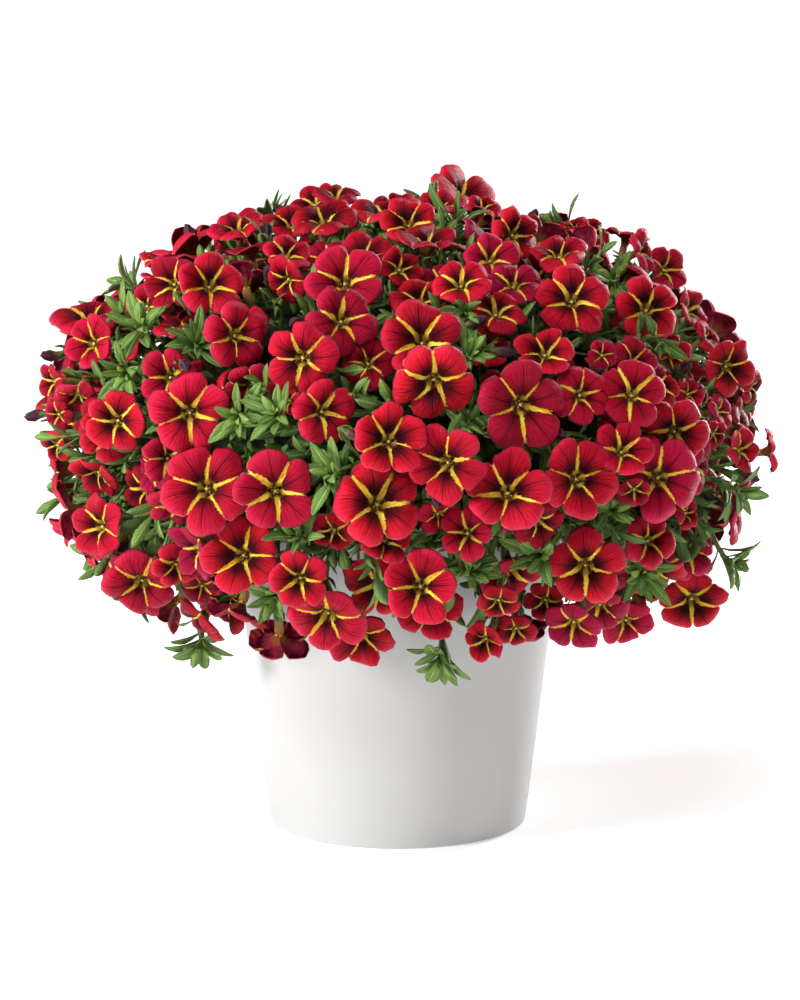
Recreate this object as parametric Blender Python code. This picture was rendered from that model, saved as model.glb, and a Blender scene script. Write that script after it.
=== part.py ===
"""A calibrachoa in full bloom, in a plain white tapered pot.

Metres, +Z up. The origin is the centre of the pot's flat base, and the plant's
front is towards -Y. Each spray of flowers is one body: its blooms and buds grow
on thin stalks from one short stub, which stands on the mound of leafy shoots.
"""

import math
import random
from collections import namedtuple

import bmesh
import bpy
from mathutils import Vector
from mathutils.bvhtree import BVHTree

MM = 0.001
SEED = 41
GAP = 0.4 * MM

# The pot, a plain round cover pot whose wall leans outwards.
POT_HEIGHT = 127 * MM
POT_BASE_RADIUS = 47 * MM
POT_TOP_RADIUS = 62.4 * MM
POT_WALL = 2.2 * MM
POT_FLOOR = 3 * MM
POT_FOOT_ROUND = 1 * MM
POT_SIDES = 28

# The potting mix, which fills the pot to just below its lip.
SOIL_TOP = 113 * MM
SOIL_ROUGHNESS = 1.2 * MM
SOIL_SIDES = 20

# The crown, a woody stub in the soil with the main stems growing out of it.
CROWN_RADIUS = 7 * MM
CROWN_DEPTH = 26 * MM
CROWN_HEIGHT = 8 * MM
STEM_COUNT = 7
STEM_RADIUS = 2 * MM
STEM_GAP = 0.9 * MM

# The bloom faces lie on a dome. Its lower part hangs past the pot's lip.
DOME_CENTRE = 146 * MM
DOME_RADIUS = 131 * MM
DOME_RISE = 82 * MM
DOME_DROP = 92 * MM
SKIRT_BOTTOM = 84 * MM

# The mound of leafy shoots is a thick shell under the blooms, open below.
MOUND_INSET = 27 * MM
MOUND_WALL = 12 * MM
MOUND_BOTTOM = 131 * MM
MOUND_SIDES = 20
MOUND_RINGS = 5

# A bloom: five broad lobes round a sunk throat, narrowing to a thin stalk.
LOBES = 5
FRONT_LOBE_EDGES = (-14, 14)
REAR_LOBE_EDGES = (0,)
NOTCH_REACH = 0.80
NOTCH_LIFT = -0.03
LOBE_LIFT = 0.05
THROAT_DEPTH = 0.30
NECK_RADIUS = 0.15
NECK_DEPTH = 1.7 * MM
STALK_RADIUS = 0.8 * MM
REAR_BLOOM = 27 * MM
REAR_SPREAD = 25.5 * MM

# A bud or a closed, faded flower: a narrow spindle on a stalk.
BUD_LENGTH = 12 * MM
BUD_RADIUS = 2.2 * MM

# A spray's stub, where its stalks meet.
STUB_HEIGHT = 6 * MM
STUB_RADIUS = 2.3 * MM
STUB_SIDES = 5
STALKS_MEET = 5.5 * MM
# Each ring of stubs: height above the base, and how many.
STUB_RINGS = ((137, 16), (159, 12), (180, 8), (194, 4), (200.5, 1))

# A leaf is a lance-shaped blade with a keel, on a tuft's thin shoot.
LEAF_LENGTH = 17 * MM
LEAF_WIDTH = 6.5 * MM
LEAF_THICKNESS = 0.9 * MM
LEAF_WIDEST = 0.58
LEAF_WIDE_OPENING = 68
LEAF_CLOSE_OPENING = 42
TUFT_LEAVES = 5
SHOOT_RADIUS = 1 * MM
SHOOT_SINK = 3.5 * MM
TUFT_DEPTH = 5 * MM
REAR_TUFT_SPREAD = 34 * MM
BLOOM_CLEARANCE = 14 * MM

# Where the picture was taken from, which turns a place in it into a real one.
VIEW_DISTANCE = 1500 * MM
VIEW_HEIGHT = 388 * MM
PIXEL_SIZE = 0.37 * MM
AXIS_X = 398
BASE_Y = 816
MIDDLE_Y = 500

# A bloom in the picture: the middle of its face and its width in pixels, the way
# its face leans (0 right, 90 up), how far it turns from the viewer, both in
# degrees, and how many millimetres it lies behind the dome.
Bloom = namedtuple("Bloom", "x y wide lean turn sunk")

FRONT_BLOOMS = (
    Bloom(172, 281, 60, 130, 28, 0), Bloom(212, 283, 70, 60, 28, 0), Bloom(90, 342, 58, 160, 30, 0),
    Bloom(88, 313, 52, 130, 105, 4), Bloom(143, 306, 44, 180, 40, 6), Bloom(236, 226, 60, 110, 45, 0),
    Bloom(312, 200, 50, 120, 55, 0), Bloom(292, 220, 60, 90, 60, 4), Bloom(337, 192, 50, 80, 62, 0),
    Bloom(288, 252, 50, 70, 42, 2), Bloom(285, 281, 50, 210, 40, 6), Bloom(345, 277, 76, 90, 35, 0),
    Bloom(366, 252, 64, 85, 50, 4), Bloom(403, 267, 46, 40, 45, 6), Bloom(343, 318, 70, 60, 22, 3),
    Bloom(238, 335, 68, 0, 20, 0), Bloom(301, 358, 72, 200, 12, 0), Bloom(368, 360, 56, 90, 25, 12),
    Bloom(325, 410, 64, 20, 22, 4), Bloom(116, 421, 64, 200, 15, 0), Bloom(188, 412, 80, 180, 8, 0),
    Bloom(50, 382, 42, 190, 60, 0), Bloom(76, 398, 50, 240, 45, 5), Bloom(57, 416, 34, 220, 40, 0),
    Bloom(55, 447, 38, 220, 45, 2), Bloom(109, 479, 54, 60, 28, 0), Bloom(152, 468, 46, 180, 40, 12),
    Bloom(205, 489, 90, 190, 8, 0), Bloom(277, 488, 80, 60, 12, 0), Bloom(95, 526, 66, 180, 50, 0),
    Bloom(241, 556, 78, 200, 14, 0), Bloom(141, 585, 76, 255, 30, 0), Bloom(176, 567, 50, 270, 30, 9),
    Bloom(201, 588, 44, 250, 30, 12), Bloom(300, 580, 60, 255, 18, 2), Bloom(328, 621, 82, 265, 45, 0),
    Bloom(378, 586, 70, 240, 20, 9), Bloom(332, 533, 46, 240, 45, 9), Bloom(379, 504, 88, 20, 8, 0),
    Bloom(231, 600, 32, 270, 40, 12), Bloom(422, 339, 82, 90, 18, 0), Bloom(434, 383, 80, 270, 22, 5),
    Bloom(391, 440, 72, 30, 14, 0), Bloom(410, 220, 62, 80, 38, 0), Bloom(428, 238, 68, 85, 60, 3),
    Bloom(440, 201, 56, 90, 68, 0), Bloom(484, 204, 42, 70, 60, 2), Bloom(391, 200, 48, 100, 65, 4),
    Bloom(516, 232, 58, 40, 35, 0), Bloom(486, 219, 40, 40, 110, 5), Bloom(559, 250, 62, 90, 55, 0),
    Bloom(491, 256, 58, 80, 35, 3), Bloom(460, 281, 60, 100, 38, 0), Bloom(515, 280, 64, 80, 48, 2),
    Bloom(496, 311, 60, 90, 28, 9), Bloom(574, 298, 76, 60, 22, 0), Bloom(648, 305, 70, 70, 32, 0),
    Bloom(628, 234, 46, 70, 82, 0), Bloom(593, 228, 46, 60, 55, 3), Bloom(573, 224, 34, 100, 60, 6),
    Bloom(645, 250, 48, 20, 65, 4), Bloom(668, 268, 50, 20, 42, 2), Bloom(693, 308, 48, 25, 62, 2),
    Bloom(710, 336, 42, 30, 60, 4), Bloom(730, 367, 60, 340, 32, 0), Bloom(754, 389, 40, 330, 60, 0),
    Bloom(545, 350, 60, 90, 36, 0), Bloom(603, 353, 32, 60, 30, 4), Bloom(673, 354, 42, 20, 30, 9),
    Bloom(522, 404, 88, 0, 8, 0), Bloom(584, 395, 62, 0, 28, 3), Bloom(633, 394, 70, 45, 12, 0),
    Bloom(677, 431, 72, 350, 14, 0), Bloom(716, 433, 30, 0, 40, 6), Bloom(744, 450, 46, 0, 50, 0),
    Bloom(774, 450, 48, 10, 88, 0), Bloom(722, 410, 40, 20, 50, 6), Bloom(446, 461, 76, 160, 12, 0),
    Bloom(507, 490, 82, 100, 14, 0), Bloom(577, 481, 80, 300, 10, 0), Bloom(625, 451, 62, 20, 24, 4),
    Bloom(661, 478, 90, 350, 14, 0), Bloom(501, 554, 86, 90, 40, 0), Bloom(420, 588, 74, 250, 10, 0),
    Bloom(586, 567, 78, 280, 12, 0), Bloom(651, 538, 56, 30, 28, 4), Bloom(692, 550, 60, 0, 30, 6),
    Bloom(693, 602, 72, 290, 25, 0), Bloom(626, 625, 60, 275, 42, 0), Bloom(573, 627, 60, 260, 42, 0),
    Bloom(497, 603, 44, 250, 40, 6), Bloom(484, 642, 46, 240, 45, 3), Bloom(516, 632, 42, 270, 45, 5),
    Bloom(438, 516, 44, 270, 30, 12), Bloom(689, 512, 36, 10, 50, 8), Bloom(634, 491, 34, 270, 30, 12),
    Bloom(545, 602, 44, 260, 30, 11), Bloom(250, 388, 50, 260, 30, 13), Bloom(288, 401, 30, 200, 30, 10),
    Bloom(487, 346, 48, 90, 30, 13), Bloom(420, 299, 58, 90, 32, 6), Bloom(690, 393, 36, 20, 30, 10),
)

# A tuft of leaves in the picture: its middle, its width in pixels, the way it
# leans and how far it turns from the viewer, in degrees.
Tuft = namedtuple("Tuft", "x y wide lean turn")

FRONT_TUFTS = (
    Tuft(155, 328, 50, 120, 30), Tuft(197, 345, 56, 60, 25), Tuft(212, 246, 34, 100, 50),
    Tuft(345, 228, 40, 150, 50), Tuft(376, 221, 40, 80, 50), Tuft(128, 371, 56, 220, 25),
    Tuft(240, 415, 50, 200, 25), Tuft(278, 415, 60, 110, 25), Tuft(296, 316, 34, 90, 30),
    Tuft(369, 402, 34, 80, 25), Tuft(464, 314, 42, 70, 30), Tuft(482, 358, 44, 90, 20),
    Tuft(539, 303, 46, 90, 30), Tuft(561, 226, 36, 80, 60), Tuft(452, 222, 40, 120, 50),
    Tuft(655, 338, 40, 60, 35), Tuft(614, 280, 38, 140, 45), Tuft(144, 528, 50, 240, 30),
    Tuft(72, 510, 30, 180, 60), Tuft(44, 470, 50, 215, 62), Tuft(301, 538, 36, 90, 30),
    Tuft(334, 474, 36, 70, 25), Tuft(261, 594, 46, 250, 30), Tuft(202, 640, 56, 265, 55),
    Tuft(430, 545, 44, 140, 25), Tuft(469, 573, 44, 20, 25), Tuft(521, 606, 48, 280, 30),
    Tuft(546, 560, 50, 290, 25), Tuft(641, 572, 46, 300, 25), Tuft(729, 560, 46, 350, 65),
    Tuft(722, 490, 50, 340, 50), Tuft(440, 624, 50, 230, 40), Tuft(440, 655, 56, 265, 55),
    Tuft(756, 433, 30, 60, 60), Tuft(704, 398, 34, 40, 45), Tuft(47, 428, 34, 190, 60),
    Tuft(436, 492, 34, 200, 25), Tuft(610, 510, 40, 270, 25), Tuft(463, 412, 34, 250, 25),
    Tuft(560, 436, 34, 300, 25),
)

# A closed bud or faded flower in the picture: its tip, the way it points and how
# far it turns from the viewer, in degrees.
Bud = namedtuple("Bud", "x y lean turn")

FRONT_BUDS = (
    Bud(40, 356, 190, 75), Bud(275, 203, 120, 70), Bud(291, 324, 200, 30), Bud(108, 564, 230, 70),
    Bud(205, 606, 200, 50), Bud(24, 416, 185, 85), Bud(33, 485, 215, 80), Bud(487, 317, 20, 60),
    Bud(524, 352, 0, 80), Bud(583, 303, 10, 70), Bud(604, 364, 60, 30), Bud(536, 208, 70, 75),
    Bud(691, 362, 40, 40), Bud(487, 437, 280, 60), Bud(567, 436, 350, 50), Bud(760, 479, 350, 80),
    Bud(438, 506, 270, 30), Bud(189, 368, 330, 30), Bud(78, 370, 185, 70), Bud(345, 430, 330, 40),
    Bud(178, 361, 250, 40), Bud(268, 264, 100, 50), Bud(641, 268, 60, 60), Bud(492, 622, 290, 50),
)

COLOURS = {
    "pot": (0.86, 0.86, 0.85, 0.32),
    "soil": (0.045, 0.028, 0.018, 0.95),
    "stems": (0.16, 0.24, 0.06, 0.6),
    "leaves": (0.07, 0.19, 0.045, 0.55),
    "petals": (0.62, 0.012, 0.05, 0.5),
}

random_source = random.Random(SEED)


def clear_scene():
    """Remove whatever the file opened with."""
    for item in list(bpy.data.objects):
        bpy.data.objects.remove(item, do_unlink=True)


def make_material(name):
    """A plain material in the piece's own colour."""
    red, green, blue, roughness = COLOURS[name]
    material = bpy.data.materials.new(name)
    material.use_nodes = True
    shader = material.node_tree.nodes["Principled BSDF"]
    shader.inputs["Base Color"].default_value = (red, green, blue, 1)
    shader.inputs["Roughness"].default_value = roughness
    shader.inputs["Metallic"].default_value = 0
    return material


def add_object(name, points, faces, material):
    """One closed piece, its faces turned outwards."""
    mesh = bpy.data.meshes.new(name)
    mesh.from_pydata([tuple(point) for point in points], [], faces)
    shell = bmesh.new()
    shell.from_mesh(mesh)
    bmesh.ops.recalc_face_normals(shell, faces=shell.faces)
    shell.to_mesh(mesh)
    shell.free()
    mesh.materials.append(material)
    item = bpy.data.objects.new(name, mesh)
    bpy.context.scene.collection.objects.link(item)
    return item


def join_all(base, parts):
    """Fuse the parts into the base with one union, and remove them."""
    group = bpy.data.collections.new(base.name + "_parts")
    for part in parts:
        group.objects.link(part)
    union = base.modifiers.new("join", "BOOLEAN")
    union.operation = "UNION"
    union.operand_type = "COLLECTION"
    union.collection = group
    union.solver = "MANIFOLD"
    apply_modifiers(base)
    for part in parts:
        bpy.data.objects.remove(part, do_unlink=True)
    bpy.data.collections.remove(group)


def apply_modifiers(item):
    """Replace the object's mesh with what its modifiers make of it."""
    view = bpy.context.evaluated_depsgraph_get()
    view.update()
    made = bpy.data.meshes.new_from_object(item.evaluated_get(view))
    item.modifiers.clear()
    item.data = made
    keep_largest_body(made)


def keep_largest_body(mesh):
    """Drop loose scraps and sealed hollows that a union can leave."""
    shell = bmesh.new()
    shell.from_mesh(mesh)
    left = set(shell.faces)
    bodies = []
    while left:
        body = {left.pop()}
        edge_of = list(body)
        while edge_of:
            face = edge_of.pop()
            for edge in face.edges:
                for other in edge.link_faces:
                    if other in left:
                        left.remove(other)
                        body.add(other)
                        edge_of.append(other)
        bodies.append(body)
    bodies.sort(key=len)
    for body in bodies[:-1]:
        bmesh.ops.delete(shell, geom=list(body), context="FACES")
    bmesh.ops.triangulate(shell, faces=shell.faces)
    shell.to_mesh(mesh)
    shell.free()


def turn_profile(profile, sides, shift=None):
    """Points and faces of a profile of (radius, height) turned about Z.

    A radius of zero closes the end at the axis.
    """
    points = []
    rings = []
    for number, (radius, height) in enumerate(profile):
        if radius == 0:
            rings.append([len(points)])
            points.append(Vector((0, 0, height)))
            continue
        ring = []
        for side in range(sides):
            angle = 2 * math.pi * side / sides
            lift = shift(number, side) if shift else 0
            ring.append(len(points))
            points.append(Vector((radius * math.cos(angle), radius * math.sin(angle), height + lift)))
        rings.append(ring)
    faces = []
    for lower, upper in zip(rings, rings[1:]):
        for side in range(sides):
            after = (side + 1) % sides
            if len(lower) == 1:
                faces.append((lower[0], upper[side], upper[after]))
            elif len(upper) == 1:
                faces.append((lower[side], lower[after], upper[0]))
            else:
                faces.append((lower[side], lower[after], upper[after]))
                faces.append((lower[side], upper[after], upper[side]))
    return points, faces


def frame_round(axis):
    """Two directions at right angles to the axis and to each other."""
    helper = Vector((0, 0, 1)) if abs(axis.z) < 0.9 else Vector((1, 0, 0))
    across = axis.cross(helper).normalized()
    return across, axis.cross(across).normalized()


def tube(path, radii, sides):
    """Points and faces of a closed tube with the given radius at each point."""
    points = []
    rings = []
    before = None
    for number, (place, radius) in enumerate(zip(path, radii)):
        ahead = path[min(number + 1, len(path) - 1)] - path[max(number - 1, 0)]
        axis = ahead.normalized()
        across, over = frame_round(axis)
        if before is not None:
            across = (before - axis * before.dot(axis)).normalized()
            over = axis.cross(across)
        before = across
        ring = []
        for side in range(sides):
            angle = 2 * math.pi * side / sides
            ring.append(len(points))
            points.append(place + (across * math.cos(angle) + over * math.sin(angle)) * radius)
        rings.append(ring)
    faces = []
    for lower, upper in zip(rings, rings[1:]):
        for side in range(sides):
            after = (side + 1) % sides
            faces.append((lower[side], lower[after], upper[after]))
            faces.append((lower[side], upper[after], upper[side]))
    for side in range(1, sides - 1):
        faces.append((rings[0][0], rings[0][side + 1], rings[0][side]))
        faces.append((rings[-1][0], rings[-1][side], rings[-1][side + 1]))
    return points, faces


def pot_inner_radius(height):
    """The inside of the pot's wall at a height."""
    slope = (POT_TOP_RADIUS - POT_BASE_RADIUS) / POT_HEIGHT
    return POT_BASE_RADIUS + slope * height - POT_WALL


def make_pot():
    """The pot, with a solid floor, a thin wall and a rounded lip."""
    inner_floor = pot_inner_radius(POT_FLOOR)
    inner_top = pot_inner_radius(POT_HEIGHT)
    lip = POT_WALL * 0.3
    profile = (
        (0, 0),
        (POT_BASE_RADIUS - POT_FOOT_ROUND, 0),
        (POT_BASE_RADIUS, POT_FOOT_ROUND),
        (POT_TOP_RADIUS, POT_HEIGHT - lip),
        (POT_TOP_RADIUS - lip, POT_HEIGHT),
        (inner_top + lip, POT_HEIGHT),
        (inner_top, POT_HEIGHT - lip),
        (inner_floor, POT_FLOOR),
        (0, POT_FLOOR),
    )
    points, faces = turn_profile(profile, POT_SIDES)
    pot = add_object("pot", points, faces, make_material("pot"))
    pot.data.shade_smooth()
    pot.data.set_sharp_from_angle(angle=math.radians(40))


def make_soil():
    """The potting mix, with an uneven top and one plain hole for the crown."""
    def unevenness(ring, side):
        return random_source.uniform(-SOIL_ROUGHNESS, SOIL_ROUGHNESS) if ring in (3, 4) else 0

    bottom = POT_FLOOR + GAP
    edge = pot_inner_radius(SOIL_TOP) - GAP - 0.6 * MM
    profile = (
        (0, bottom),
        (pot_inner_radius(bottom) - GAP - 0.6 * MM, bottom),
        (edge, SOIL_TOP - 2 * MM),
        (edge * 0.72, SOIL_TOP),
        (edge * 0.42, SOIL_TOP + 1 * MM),
        (0, SOIL_TOP + 1 * MM),
    )
    points, faces = turn_profile(profile, SOIL_SIDES, unevenness)
    soil = add_object("soil", points, faces, make_material("soil"))
    path = [Vector((0, 0, SOIL_TOP - CROWN_DEPTH - GAP)), Vector((0, 0, SOIL_TOP + 2 * CROWN_HEIGHT))]
    hole_points, hole_faces = tube(path, [CROWN_RADIUS + GAP + 0.2 * MM] * 2, 10)
    hole = add_object("soil_hole", hole_points, hole_faces, make_material("soil"))
    cut = soil.modifiers.new("hole", "BOOLEAN")
    cut.operation = "DIFFERENCE"
    cut.object = hole
    cut.solver = "EXACT"
    apply_modifiers(soil)
    bpy.data.objects.remove(hole, do_unlink=True)


def make_crown_stems(mound):
    """The crown in its hole, and the main stems up to the mound of shoots."""
    ceiling_tree = BVHTree.FromPolygons(*mound)
    material = make_material("stems")
    path = [Vector((0, 0, SOIL_TOP - CROWN_DEPTH)), Vector((0, 0, SOIL_TOP + CROWN_HEIGHT))]
    points, faces = tube(path, [CROWN_RADIUS, CROWN_RADIUS * 0.8], 8)
    crown = add_object("crown_stems", points, faces, material)
    stems = []
    for number in range(STEM_COUNT):
        angle = 2 * math.pi * number / STEM_COUNT + random_source.uniform(-0.2, 0.2)
        reach = 0.0 if number == 0 else random_source.uniform(0.42, 0.62)
        outward = Vector((math.cos(angle), math.sin(angle), 0))
        under = mound_radius(0, MOUND_WALL) * reach
        ceiling = DOME_CENTRE + mound_height(under, MOUND_WALL)
        bend = outward * under * 0.35 + Vector((0, 0, SOIL_TOP + CROWN_HEIGHT + 14 * MM))
        rise = (outward * under + Vector((0, 0, ceiling)) - bend).normalized()
        seat, _, _, _ = ceiling_tree.ray_cast(bend, rise)
        path = [outward * 2 * MM + Vector((0, 0, SOIL_TOP)), bend, seat - rise * STEM_GAP]
        points, faces = tube(path, [STEM_RADIUS * 1.2, STEM_RADIUS, STEM_RADIUS * 0.7], 4)
        stems.append(add_object("stem", points, faces, material))
    join_all(crown, stems)
    return crown


def mound_radius(height, wall):
    """Radius of the mound's surface at a height above the dome's centre."""
    reach = DOME_RADIUS - MOUND_INSET - wall
    rise = DOME_RISE - MOUND_INSET - wall
    return reach * math.sqrt(max(0, 1 - (height / rise) ** 2))


def mound_height(radius, wall):
    """Height of the mound's surface above the dome's centre at a radius."""
    reach = DOME_RADIUS - MOUND_INSET - wall
    rise = DOME_RISE - MOUND_INSET - wall
    return rise * math.sqrt(max(0, 1 - (radius / reach) ** 2))


def mound_shell():
    """The shell of packed shoots that carries the leaves and the sprays."""
    reach = DOME_RADIUS - MOUND_INSET
    rise = DOME_RISE - MOUND_INSET
    outer = []
    inner = []
    for ring in range(MOUND_RINGS):
        angle = math.radians(90) * ring / MOUND_RINGS
        outer.append((reach * math.cos(angle), DOME_CENTRE + rise * math.sin(angle)))
        inner.append(((reach - MOUND_WALL) * math.cos(angle),
                      DOME_CENTRE + (rise - MOUND_WALL) * math.sin(angle)))
    profile = [(0, DOME_CENTRE + rise - MOUND_WALL)]
    profile += inner[::-1]
    profile += [(reach - MOUND_WALL, MOUND_BOTTOM), (reach - 2 * MM, MOUND_BOTTOM)]
    profile += outer
    profile += [(0, DOME_CENTRE + rise)]
    return turn_profile(profile, MOUND_SIDES)


def view_axes():
    """The picture's right, up and forward directions, and its focal length in pixels."""
    slant = math.hypot(VIEW_DISTANCE, VIEW_HEIGHT)
    focal = slant / PIXEL_SIZE
    pitch = math.atan2(VIEW_HEIGHT, VIEW_DISTANCE) - math.atan2(BASE_Y - MIDDLE_Y, focal)
    forward = Vector((0, math.cos(pitch), -math.sin(pitch)))
    upward = Vector((0, math.sin(pitch), math.cos(pitch)))
    return Vector((1, 0, 0)), upward, forward, focal


RIGHTWARD, UPWARD, FORWARD, FOCAL = view_axes()
VIEWPOINT = Vector((0, -VIEW_DISTANCE, VIEW_HEIGHT))


def view_ray(x, y):
    """Direction from the viewpoint to a place in the picture."""
    return (FORWARD + RIGHTWARD * ((x - AXIS_X) / FOCAL) + UPWARD * ((MIDDLE_Y - y) / FOCAL)).normalized()


def dome_value(point, inset):
    """Below 1 inside the dome that lies the given distance within the blooms."""
    above = point.z - DOME_CENTRE
    height = (DOME_RISE if above > 0 else DOME_DROP) - inset
    return (point.x ** 2 + point.y ** 2) / (DOME_RADIUS - inset) ** 2 + (above / height) ** 2


def picture_place(x, y, inset):
    """Where the line of sight meets the dome, or passes closest to it."""
    ray = view_ray(x, y)
    best = None
    steps = 600
    for step in range(steps):
        point = VIEWPOINT + ray * (VIEW_DISTANCE - 0.18 + 0.30 * step / steps)
        value = dome_value(point, inset)
        if value <= 1:
            return point
        if best is None or value < best[0]:
            best = (value, point)
    return best[1]


def facing(ray, lean, turn):
    """Direction of a face from how it looks in the picture."""
    lean = math.radians(lean)
    turn = math.radians(turn)
    aside = RIGHTWARD * math.cos(lean) + UPWARD * math.sin(lean)
    return (aside * math.sin(turn) - ray * math.cos(turn)).normalized()


def dome_normal(point):
    """Outward direction of the dome at a point."""
    above = point.z - DOME_CENTRE
    height = DOME_RISE if above > 0 else DOME_DROP
    return Vector((point.x / DOME_RADIUS ** 2, point.y / DOME_RADIUS ** 2, above / height ** 2)).normalized()


def bloom_shape(place, face, radius, twist, root, lobe_edges):
    """A trumpet: five lobes round a sunk throat, and a stalk down to its root.

    Each lobe ends in the edge points listed, as angles from its middle.
    """
    across, over = frame_round(face)
    points = []
    for lobe in range(LOBES):
        notch = 360 / LOBES * lobe
        middle = notch + 180 / LOBES
        corners = [(notch, NOTCH_REACH, NOTCH_LIFT)]
        corners += [(middle + edge, 1, LOBE_LIFT) for edge in lobe_edges]
        for degrees, reach, lift in corners:
            angle = twist + math.radians(degrees)
            spoke = across * math.cos(angle) + over * math.sin(angle)
            points.append(place + spoke * radius * reach + face * radius * lift)
    rim = len(points)
    throat = rim
    points.append(place - face * radius * THROAT_DEPTH)
    neck_middle = place - face * (radius * THROAT_DEPTH + NECK_DEPTH)
    stalk = (root - neck_middle).normalized()
    neck = [rim + 1, rim + 2, rim + 3]
    foot = [rim + 4, rim + 5, rim + 6]
    spokes = []
    for side in range(3):
        angle = twist + math.radians(120 * side + 60)
        spokes.append(across * math.cos(angle) + over * math.sin(angle))
    points += [neck_middle + spoke * radius * NECK_RADIUS for spoke in spokes]
    for spoke in spokes:
        spoke = (spoke - stalk * spoke.dot(stalk)).normalized()
        points.append(root + spoke * STALK_RADIUS)
    faces = []
    owner = [3 * number // rim for number in range(rim)]
    for number in range(rim):
        after = (number + 1) % rim
        faces.append((throat, number, after))
        faces.append((after, number, neck[owner[number]]))
        if owner[after] != owner[number]:
            faces.append((neck[owner[after]], after, neck[owner[number]]))
    for side in range(3):
        after = (side + 1) % 3
        faces.append((neck[side], foot[side], foot[after]))
        faces.append((neck[side], foot[after], neck[after]))
    faces.append((foot[2], foot[1], foot[0]))
    return points, faces


def bud_shape(tip, face, root):
    """A spindle with its tip forwards, on a stalk down to its root."""
    base = tip - face * BUD_LENGTH
    belly = tip - face * BUD_LENGTH * 0.3
    points, faces = tube([root, base, belly], [STALK_RADIUS, STALK_RADIUS, BUD_RADIUS], 3)
    faces.pop()
    top = len(points)
    points.append(tip)
    for side in range(3):
        faces.append((6 + side, 6 + (side + 1) % 3, top))
    return points, faces


def tuft_shape(place, face, size, foot, twist, leaves):
    """A shoot from the mound whose tip spreads into keeled, lance-shaped leaves.

    Every second leaf opens wider, and only the leaves listed are there.
    """
    across, over = frame_round(face)
    points = []
    for height in (-LEAF_THICKNESS / 2, LEAF_THICKNESS / 2):
        for corner in range(TUFT_LEAVES):
            angle = twist + 2 * math.pi * corner / TUFT_LEAVES
            spoke = across * math.cos(angle) + over * math.sin(angle)
            points.append(place + spoke * SHOOT_RADIUS * 1.1 + face * height)
    stalk = (place - foot).normalized()
    for side in range(3):
        angle = twist + 2 * math.pi * (side + 0.3) / 3
        spoke = across * math.cos(angle) + over * math.sin(angle)
        spoke = (spoke - stalk * spoke.dot(stalk)).normalized()
        points.append(foot + spoke * SHOOT_RADIUS)
    faces = [(TUFT_LEAVES, TUFT_LEAVES + side, TUFT_LEAVES + side + 1) for side in range(1, TUFT_LEAVES - 1)]
    base = 2 * TUFT_LEAVES
    owner = [round(3 * (corner + 0.5) / TUFT_LEAVES - 0.5) % 3 for corner in range(TUFT_LEAVES)]
    for corner in range(TUFT_LEAVES):
        after = (corner + 1) % TUFT_LEAVES
        faces.append((corner, after, base + owner[corner]))
        if owner[after] != owner[corner]:
            faces.append((after, base + owner[after], base + owner[corner]))
    faces.append((base, base + 1, base + 2))
    for corner in range(TUFT_LEAVES):
        after = (corner + 1) % TUFT_LEAVES
        lower, lower_after = corner, after
        upper, upper_after = TUFT_LEAVES + corner, TUFT_LEAVES + after
        if corner not in leaves:
            faces += [(lower, lower_after, upper_after), (lower, upper_after, upper)]
            continue
        angle = twist + 2 * math.pi * (corner + 0.5) / TUFT_LEAVES
        opening = math.radians(LEAF_WIDE_OPENING if corner % 2 else LEAF_CLOSE_OPENING)
        length = size * (1.0 if corner % 2 else 0.82)
        width = length * LEAF_WIDTH / LEAF_LENGTH
        spoke = across * math.cos(angle) + over * math.sin(angle)
        along = spoke * math.sin(opening) + face * math.cos(opening)
        above = face * math.sin(opening) - spoke * math.cos(opening)
        side = along.cross(above)
        wide_place = place + along * length * LEAF_WIDEST + above * width * 0.12
        right, left, tip, keel = range(len(points), len(points) + 4)
        points.append(wide_place + side * width / 2)
        points.append(wide_place - side * width / 2)
        points.append(place + along * length - above * length * 0.10)
        points.append(place + along * length * 0.5 - above * LEAF_THICKNESS)
        if (points[right] - points[lower]).length > (points[left] - points[lower]).length:
            right, left = left, right
        faces += [(upper, upper_after, left), (upper, left, right), (right, left, tip)]
        faces += [(lower, right, keel), (lower, keel, lower_after), (lower_after, keel, left)]
        faces += [(right, tip, keel), (tip, left, keel), (upper, right, lower), (upper_after, lower_after, left)]
    return points, faces


class Space:
    """What already stands in the plant, so that nothing new crosses it.

    Parts of one spray meet at its stub, so among themselves they are compared
    without the ends of their stalks.
    """

    def __init__(self):
        self.taken = []

    def add(self, shape, free=None, owner=None):
        points, faces = shape
        middle = sum(points, Vector()) / len(points)
        reach = max((point - middle).length for point in points)
        tree = BVHTree.FromPolygons(points, faces)
        free_tree = BVHTree.FromPolygons(*free) if free else tree
        self.taken.append((tree, free_tree, middle, reach, owner))

    def is_clear(self, shape, grow=1.04, free=None, owner=None):
        points, faces = shape
        middle = sum(points, Vector()) / len(points)
        reach = max((point - middle).length for point in points) * grow
        trees = grown_trees(shape, grow)
        free_trees = grown_trees(free, grow) if free else trees
        for tree, free_tree, centre, radius, other in self.taken:
            if (centre - middle).length > radius + reach:
                continue
            if owner is not None and other is owner:
                if any(free_tree.overlap(trial) for trial in free_trees):
                    return False
            elif any(tree.overlap(trial) for trial in trees):
                return False
        return True


def grown_trees(shape, grow):
    """Search trees of a shape and of the same shape a little larger."""
    points, faces = shape
    middle = sum(points, Vector()) / len(points)
    fuller = [middle + (point - middle) * grow for point in points]
    return [BVHTree.FromPolygons(points, faces), BVHTree.FromPolygons(fuller, faces)]


def far_shape(shape):
    """The shape moved out of everything's way, for what it may meet freely."""
    points, faces = shape
    return [point - Vector((0, 0, 1)) for point in points], faces


def short_of(root, start):
    """The place on a stalk just before it meets its stub and the other stalks."""
    return root + (start - root).normalized() * STALKS_MEET


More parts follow.
